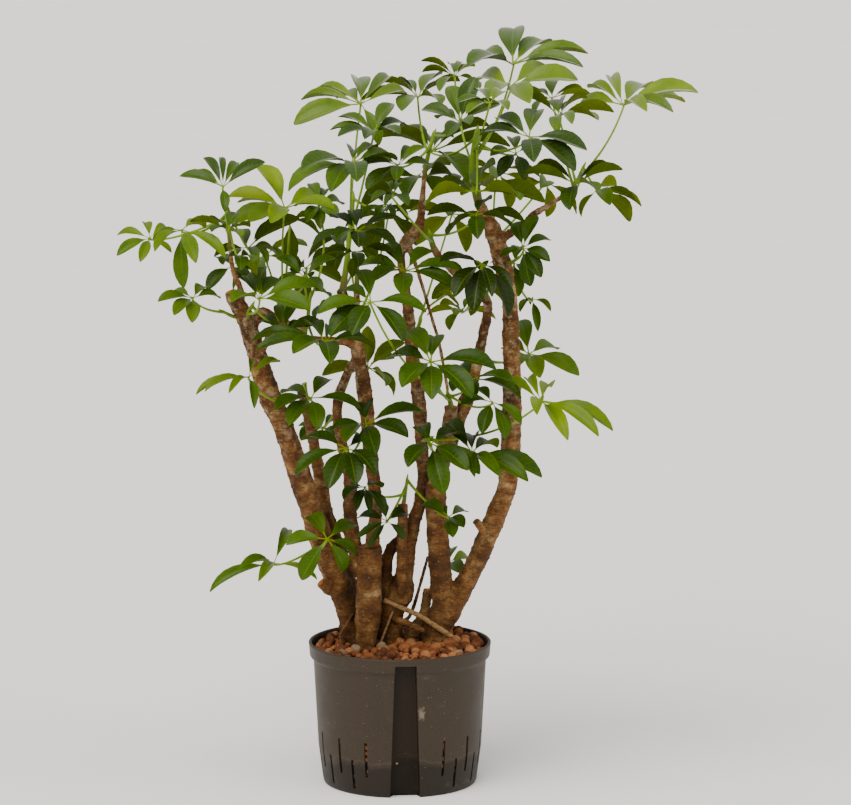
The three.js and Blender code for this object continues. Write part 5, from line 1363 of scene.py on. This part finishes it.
def shoot_tree():
    """Draws a leafy shoot: its stem and leaf stalks along their paths, and a leaflet at each leaflet point."""
    tree, add, given = new_tree("leafy shoot", {
        "Leaflet": ("Object", None), "Sides": ("Int", 8), "Step": ("Float", 0.004), "Waves": ("Float", 0.0016),
        "Leaf": ("Material", None), "Stalk": ("Material", None),
    })
    tube = add("SetShadeSmooth", tubes_along(add, given))
    stalks = add("SetMaterial", {"Geometry": tube, "Material": given["Stalk"]})
    run, lift, size = (
        add("InputNamedAttribute", {"Name": name}, data_type="FLOAT_VECTOR") for name in ("run", "lift", "size")
    )
    leaflet, along = (add("InputNamedAttribute", {"Name": name}) for name in ("leaflet", "leaf_along"))
    blades = add("InstanceOnPoints", {
        "Points": given["Geometry"], "Scale": size,
        "Selection": add("Compare GREATER_THAN", leaflet, 0.5),
        "Instance": add("ObjectInfo", {"Object": given["Leaflet"]}).outputs["Geometry"],
        "Rotation": add("AxesToRotation", run, lift, primary_axis="X", secondary_axis="Z"),
    })
    # The blades wave, the more the nearer to their tips.
    wave = add("Math ADD", add("TexNoise", add("InputPosition"), 30.0, 1.0), -0.5)
    for factor in (along, given["Waves"], 4.0):
        wave = add("Math MULTIPLY", wave, factor)
    offset = add("VectorMath SCALE", lift, wave)
    blades = add("SetPosition", {"Geometry": add("RealizeInstances", blades), "Offset": offset})
    blades = add("SetMaterial", {"Geometry": blades, "Material": given["Leaf"]})
    add("NodeGroupOutput", add("JoinGeometry", [stalks, blades]))
    return tree


def leathery_leaf(values):
    """An evergreen umbrella plant leaf, grown: leathery, with a waxed skin above and a dull paler one below.

    The wax gives broad soft highlights, the midrib is pale, the side veins show as faint pale lines, and
    leaves that the light shines through look yellow-green."""
    material, add, where = new_material("waxy evergreen leaf")
    across, along, side, tone = (
        add("Attribute", attribute_name=name).outputs["Fac"]
        for name in ("leaf_across", "leaf_along", "leaf_side", "tone")
    )
    cloud = add("TexNoise", where, 40.0, 3.0, 0.6)
    mixed = add("Math ADD", add("Math MULTIPLY_ADD", cloud, 0.4, -0.2), tone)
    # Above: deep green when old, fresher when young. Below: the light that comes through makes it yellower.
    upper = add("ValToRGB", mixed, stops=(
        (0.0, "#061700"), (0.33, "#1d3900"), (0.62, "#466500"), (0.88, "#6a8600"), (1.0, "#829900"),
    ))
    lower = add("ValToRGB", mixed, stops=((0.0, "#1b2a00"), (0.5, "#465800"), (1.0, "#768600")))
    tint = add("Mix", 0.2, upper, values.colour, data_type="RGBA")
    faces = add("Mix", side, lower, tint, data_type="RGBA")
    # The midrib, about 1 mm wide, and side veins some 7 mm apart that run forwards to the edge.
    middle = add("Math ABSOLUTE", across)
    rib = add("MapRange", middle, 0.02, 0.08, 0.32, 0.0)
    slant = add("Math MULTIPLY_ADD", middle, -0.16, along)
    saw = add("Math PINGPONG", add("Math MULTIPLY", slant, 20.0), 1.0)
    vein = add("MapRange", saw, 0.0, 0.25, 0.09, 0.0)
    stalk = add("MapRange", along, 0.14, 0.19, 0.9, 0.0)
    pale = add("Math MAXIMUM", add("Math MAXIMUM", rib, vein), stalk)
    # The wax above shines, most on the fresh leaves at the top, and the dull skin below hardly. At the top
    # it is a fine powder too, which looks pale along the blade.
    height = add("SeparateXYZ", where).outputs["Z"]
    fresh = add("MapRange", height, 0.6, 0.9, 0.17, 0.3, interpolation_type="SMOOTHSTEP")
    powder = add("MapRange", height, 0.7, 0.87, 0.0, side, interpolation_type="SMOOTHSTEP")
    wax = add("MapRange", side, 0.0, 1.0, 0.03, fresh)
    rough = add("MapRange", side, 0.0, 1.0, 0.6, 0.34)
    relief = add("Math MULTIPLY_ADD", vein, -4.0, cloud)
    add("OutputMaterial", add("BsdfPrincipled", {
        "Base Color": add("Mix", pale, faces, "#75900a", data_type="RGBA"), "IOR": 1.45,
        "Roughness": add("Math ADD", rough, add("Math MULTIPLY_ADD", cloud, 0.16, -0.08)),
        "Specular IOR Level": add("Math MULTIPLY", wax, add("Math SUBTRACT", 1.0, stalk)),
        "Sheen Weight": powder, "Sheen Roughness": 0.35,
        "Normal": add("Bump", {"Strength": 0.5, "Distance": 0.0006, "Height": relief}),
    }))
    return material


def green_stalk():
    """Young stem and leaf stalk, grown: smooth, waxed and bright green, browner with age, with fine grooves."""
    material, add, where = new_material("smooth green stalk")
    age = add("Attribute", attribute_name="age").outputs["Fac"]
    cloud = add("TexNoise", where, 120.0, 3.0)
    older = add("Math ADD", add("Math MULTIPLY_ADD", cloud, 0.4, -0.2), age)
    body = add("ValToRGB", older, stops=(
        (0.0, "#7a9a14"), (0.3, "#668510"), (0.6, "#5f6a1a"), (0.85, "#6a4c24"), (1.0, "#4e3418"),
    ))
    grain = add("TexNoise", where, 600.0, 2.0)
    add("OutputMaterial", add("BsdfPrincipled", {
        "Base Color": body, "Roughness": 0.45, "IOR": 1.45, "Specular IOR Level": 0.3,
        "Normal": add("Bump", {"Strength": 0.3, "Distance": 0.0003, "Height": grain}),
    }))
    return material


def shoot_sketch(node, shoot, plan_of, random):
    """The lines and points of a shoot, read against its CAD node."""
    sketch = Sketch()
    corners = corner_tree(node)
    stem = stations_of(shoot["stem"])
    top, radius = stem[-1]
    onward = unit(top - stem[-2][0])
    stem += [(top + onward * BUD_SWELL, radius * BUD_SWELL_SHARE), (top + onward * BUD_TIP, BUD_TIP_RADIUS)]
    oldest, step, youngest = STEM_AGES
    sketch.path(stem, [max(oldest - step * i, youngest) for i in range(len(stem))])
    leaves = shoot["leaves"]
    for i, leaf in enumerate(leaves):
        share = STALKS_FROM + STALKS_OVER * i / (len(leaves) - 1) if len(leaves) > 1 else 1.0
        plan = plan_as_built(leaf, plan_of, corners)
        hub, axis = plan["hub"], plan["axis"]
        curve = curve_as_built(stalk_root(shoot["stem"], share), plan, corners)
        stalk = [(on_curve(curve, along), thick) for along, thick, _ in STALK_STATIONS]
        stalk += [(hub + axis * high, thick) for high, thick, _ in KNOB_STATIONS]
        sketch.path(stalk, [age for _, _, age in STALK_STATIONS + KNOB_STATIONS])
        chance = random.uniform(0.0, TONE_CHANCE)
        if "shade" in leaf:
            leaf_tone = leaf["shade"] + TONE_LEFT * (chance - TONE_MEAN)
        else:
            youth = min(max((hub[2] - CROWN_FOOT) / CROWN_HEIGHT, 0.0), 1.0) + abs(hub[0]) / CROWN_HALF
            leaf_tone = TONE_LEAST + TONE_OF_YOUTH * youth + chance
        for blade in plan["blades"]:
            out, chord, _, lift = blade_frame(plan, blade)
            root = hub + out * BLADE_START
            run = hub + chord * blade["reach"] - root
            half = blade_half(blade) * random.uniform(*WIDTHS)
            reach = np.linalg.norm(run)
            sketch.point(
                root, leaflet=1.0, run=tuple(unit(run)), lift=tuple(lift),
                size=(reach * MM, half * MM, reach * MM),
                tone=leaf_tone + random.uniform(-TONE_STRAY, TONE_STRAY),
            )
    return sketch


def make_shoots(values):
    shape = new_object("leaflet_shape", leaflet_shape())
    tree, leaf, stalk = shoot_tree(), leathery_leaf(values), green_stalk()
    random = np.random.default_rng(11)
    for shoots, plan_of in ((SHOOTS, seen_plan), (HIDDEN, hidden_plan)):
        for node, shoot in shoots.items():
            sketch = shoot_sketch(node, shoot, plan_of, random)
            piece = new_object("leaves_" + node.removeprefix("shoot_"), sketch.mesh(node))
            drawn(piece, tree, {"Leaflet": shape, "Waves": values.waves, "Leaf": leaf, "Stalk": stalk})
            finished(piece, "foliage", node)
    bpy.data.objects.remove(shape)


# ---------------------------------------------------------------- the stage

def pale_floor(values):
    """A painted studio floor: matt, pale and faintly uneven."""
    material, add, where = new_material("matt pale studio floor")
    cloud = add("TexNoise", where, 3.0, 3.0)
    add("OutputMaterial", add("BsdfPrincipled", {
        "Base Color": add("Mix", cloud, values.floor, "#f1f3f4", data_type="RGBA"),
        "Roughness": 0.85, "Specular IOR Level": 0.2,
    }))
    return material


def make_stage(values):
    radius, sides = 30.0, 64
    turns = [2 * math.pi * k / sides for k in range(sides)]
    round_floor = [(radius * math.cos(t), radius * math.sin(t), 0.0) for t in turns]
    mesh = new_mesh("floor", round_floor, [], [tuple(range(sides))])
    mesh.materials.append(pale_floor(values))
    new_object("floor", mesh)
    # Two wide soft lamps, far off, so that the floor is lit evenly: name, where the light comes from, strength.
    for name, source, strength in (
        ("key_lamp", (-1.2, -2.0, 3.0), values.key), ("side_lamp", (2.4, -1.0, 1.6), values.side),
    ):
        light = bpy.data.lights.new(name, "SUN")
        light.angle = values.softness
        light.energy = strength
        light.color = linear("#fff7ec")[:3]
        lamp = new_object(name, light)
        lamp.location = source
        high = source[2] / np.linalg.norm(source)
        lamp.rotation_euler = (math.acos(high), 0.0, math.atan2(source[1], source[0]) + math.pi / 2)
    world = bpy.data.worlds.new("studio")
    world.use_nodes = True
    background = world.node_tree.nodes["Background"]
    background.inputs["Color"].default_value = linear("#fffcf7")
    background.inputs["Strength"].default_value = values.sky
    bpy.context.scene.world = world
    camera = new_object("camera", bpy.data.cameras.new("camera"))
    camera.data.sensor_fit = "HORIZONTAL"
    camera.data.sensor_width = SENSOR
    camera.data.lens = SENSOR * FOCAL / PICTURE[0]
    camera.data.clip_end = 200.0
    camera.location = tuple(EYE * MM)
    camera.rotation_euler = (math.pi / 2 - PITCH, 0.0, 0.0)
    bpy.context.scene.camera = camera


# ---------------------------------------------------------------- sizes and colours that a user may change

class PotSettings(bpy.types.PropertyGroup):
    """Sizes and colour of the pot."""
    wall: FloatProperty(name="Wall", description="Thickness of the pot's wall", default=0.0023, unit="LENGTH")
    edge: FloatProperty(
        name="Edge", description="Rounding of the groove's edges", default=0.0016, unit="LENGTH",
    )
    slot_width: FloatProperty(
        name="Slot width", description="Width of a slot", default=0.0036, unit="LENGTH",
    )
    segments: IntProperty(name="Segments", description="Faces round the pot", default=128, min=32)
    colour: FloatVectorProperty(
        name="Colour", description="Colour of the plastic", subtype="COLOR", default=linear("#2b231a")[:3],
    )


class ClaySettings(bpy.types.PropertyGroup):
    """Sizes and colour of the clay granules."""
    level: FloatProperty(
        name="Level", description="Height of the granules' middles", default=0.1655, unit="LENGTH",
    )
    heap: FloatProperty(name="Heap", description="Rise towards the back", default=0.005, unit="LENGTH")
    spacing: FloatProperty(
        name="Spacing", description="Least distance of granules", default=0.0108, unit="LENGTH",
    )
    smallest: FloatProperty(
        name="Smallest", description="Radius of small granules", default=0.0040, unit="LENGTH",
    )
    largest: FloatProperty(
        name="Largest", description="Radius of large granules", default=0.0088, unit="LENGTH",
    )
    colour: FloatVectorProperty(
        name="Colour", description="Colour of the clay", subtype="COLOR", default=linear("#8a5228")[:3],
    )


class WoodSettings(bpy.types.PropertyGroup):
    """Sizes and colour of the wood."""
    voxel: FloatProperty(name="Detail", description="Mesh size of the wood", default=0.0015, unit="LENGTH")
    rings: FloatProperty(name="Rings", description="Height of the leaf scars", default=0.0007, unit="LENGTH")
    ring_spacing: FloatProperty(
        name="Ring spacing", description="Between leaf scars", default=0.007, unit="LENGTH",
    )
    colour: FloatVectorProperty(
        name="Colour", description="Colour of the bark", subtype="COLOR", default=linear("#7d5228")[:3],
    )


class LeafSettings(bpy.types.PropertyGroup):
    """Sizes and colour of the leaves."""
    waves: FloatProperty(
        name="Waves", description="How much the leaflets wave", default=0.0016, unit="LENGTH",
    )
    colour: FloatVectorProperty(
        name="Colour", description="Colour of the leaves", subtype="COLOR", default=linear("#3c5200")[:3],
    )


class StageSettings(bpy.types.PropertyGroup):
    """Light and floor."""
    key: FloatProperty(name="Key lamp", description="Strength of the lamp above", default=3.3)
    side: FloatProperty(name="Side lamp", description="Strength of the lamp at the side", default=0.9)
    softness: FloatProperty(
        name="Softness", description="Width of the lamps", default=math.radians(50), unit="ROTATION",
    )
    sky: FloatProperty(name="Surroundings", description="Strength of the light all round", default=0.7)
    floor: FloatVectorProperty(
        name="Floor", description="Colour of the floor", subtype="COLOR", default=linear("#f8fafb")[:3],
    )


class PLANT_OT_stage(bpy.types.Operator):
    """Sets up the floor, the lamps and the camera"""
    bl_idname = "plant.stage"
    bl_label = "Stage"

    def execute(self, context):
        make_stage(context.scene.plant_stage)
        return {"FINISHED"}


class PLANT_OT_pot(bpy.types.Operator):
    """Makes the pot with its groove, rim and slots"""
    bl_idname = "plant.pot"
    bl_label = "Pot"

    def execute(self, context):
        make_pot(context.scene.plant_pot)
        return {"FINISHED"}


class PLANT_OT_clay(bpy.types.Operator):
    """Fills the pot with clay granules"""
    bl_idname = "plant.clay"
    bl_label = "Clay Granules"

    def execute(self, context):
        make_clay(context.scene.plant_clay)
        return {"FINISHED"}


class PLANT_OT_wood(bpy.types.Operator):
    """Grows the woody stems, the thin roots, the cut stub and the fallen stick"""
    bl_idname = "plant.wood"
    bl_label = "Wood"

    def execute(self, context):
        make_wood(context.scene.plant_wood)
        return {"FINISHED"}


class PLANT_OT_shoots(bpy.types.Operator):
    """Grows the leafy shoots"""
    bl_idname = "plant.shoots"
    bl_label = "Leafy Shoots"

    def execute(self, context):
        make_shoots(context.scene.plant_leaf)
        return {"FINISHED"}


GROUPS = (
    ("plant_stage", StageSettings, PLANT_OT_stage), ("plant_pot", PotSettings, PLANT_OT_pot),
    ("plant_clay", ClaySettings, PLANT_OT_clay), ("plant_wood", WoodSettings, PLANT_OT_wood),
    ("plant_leaf", LeafSettings, PLANT_OT_shoots),
)


class PLANT_PT_panel(bpy.types.Panel):
    """Lists the pieces of the plant with their sizes and colours"""
    bl_idname = "PLANT_PT_panel"
    bl_label = "Umbrella Plant"
    bl_space_type = "VIEW_3D"
    bl_region_type = "UI"
    bl_category = "Umbrella Plant"

    def draw(self, context):
        for name, group, operator in GROUPS:
            box = self.layout.box()
            for setting in group.__annotations__:
                box.prop(getattr(context.scene, name), setting)
            box.operator(operator.bl_idname)


def register():
    for name, group, operator in GROUPS:
        bpy.utils.register_class(group)
        bpy.utils.register_class(operator)
        setattr(bpy.types.Scene, name, PointerProperty(type=group))
    bpy.utils.register_class(PLANT_PT_panel)


def unregister():
    bpy.utils.unregister_class(PLANT_PT_panel)
    for name, group, operator in reversed(GROUPS):
        delattr(bpy.types.Scene, name)
        bpy.utils.unregister_class(operator)
        bpy.utils.unregister_class(group)


def main():
    register()
    bpy.ops.plant.stage()
    bpy.ops.plant.pot()
    bpy.ops.plant.clay()
    bpy.ops.plant.wood()
    bpy.ops.plant.shoots()


if __name__ == "__main__":
    main()
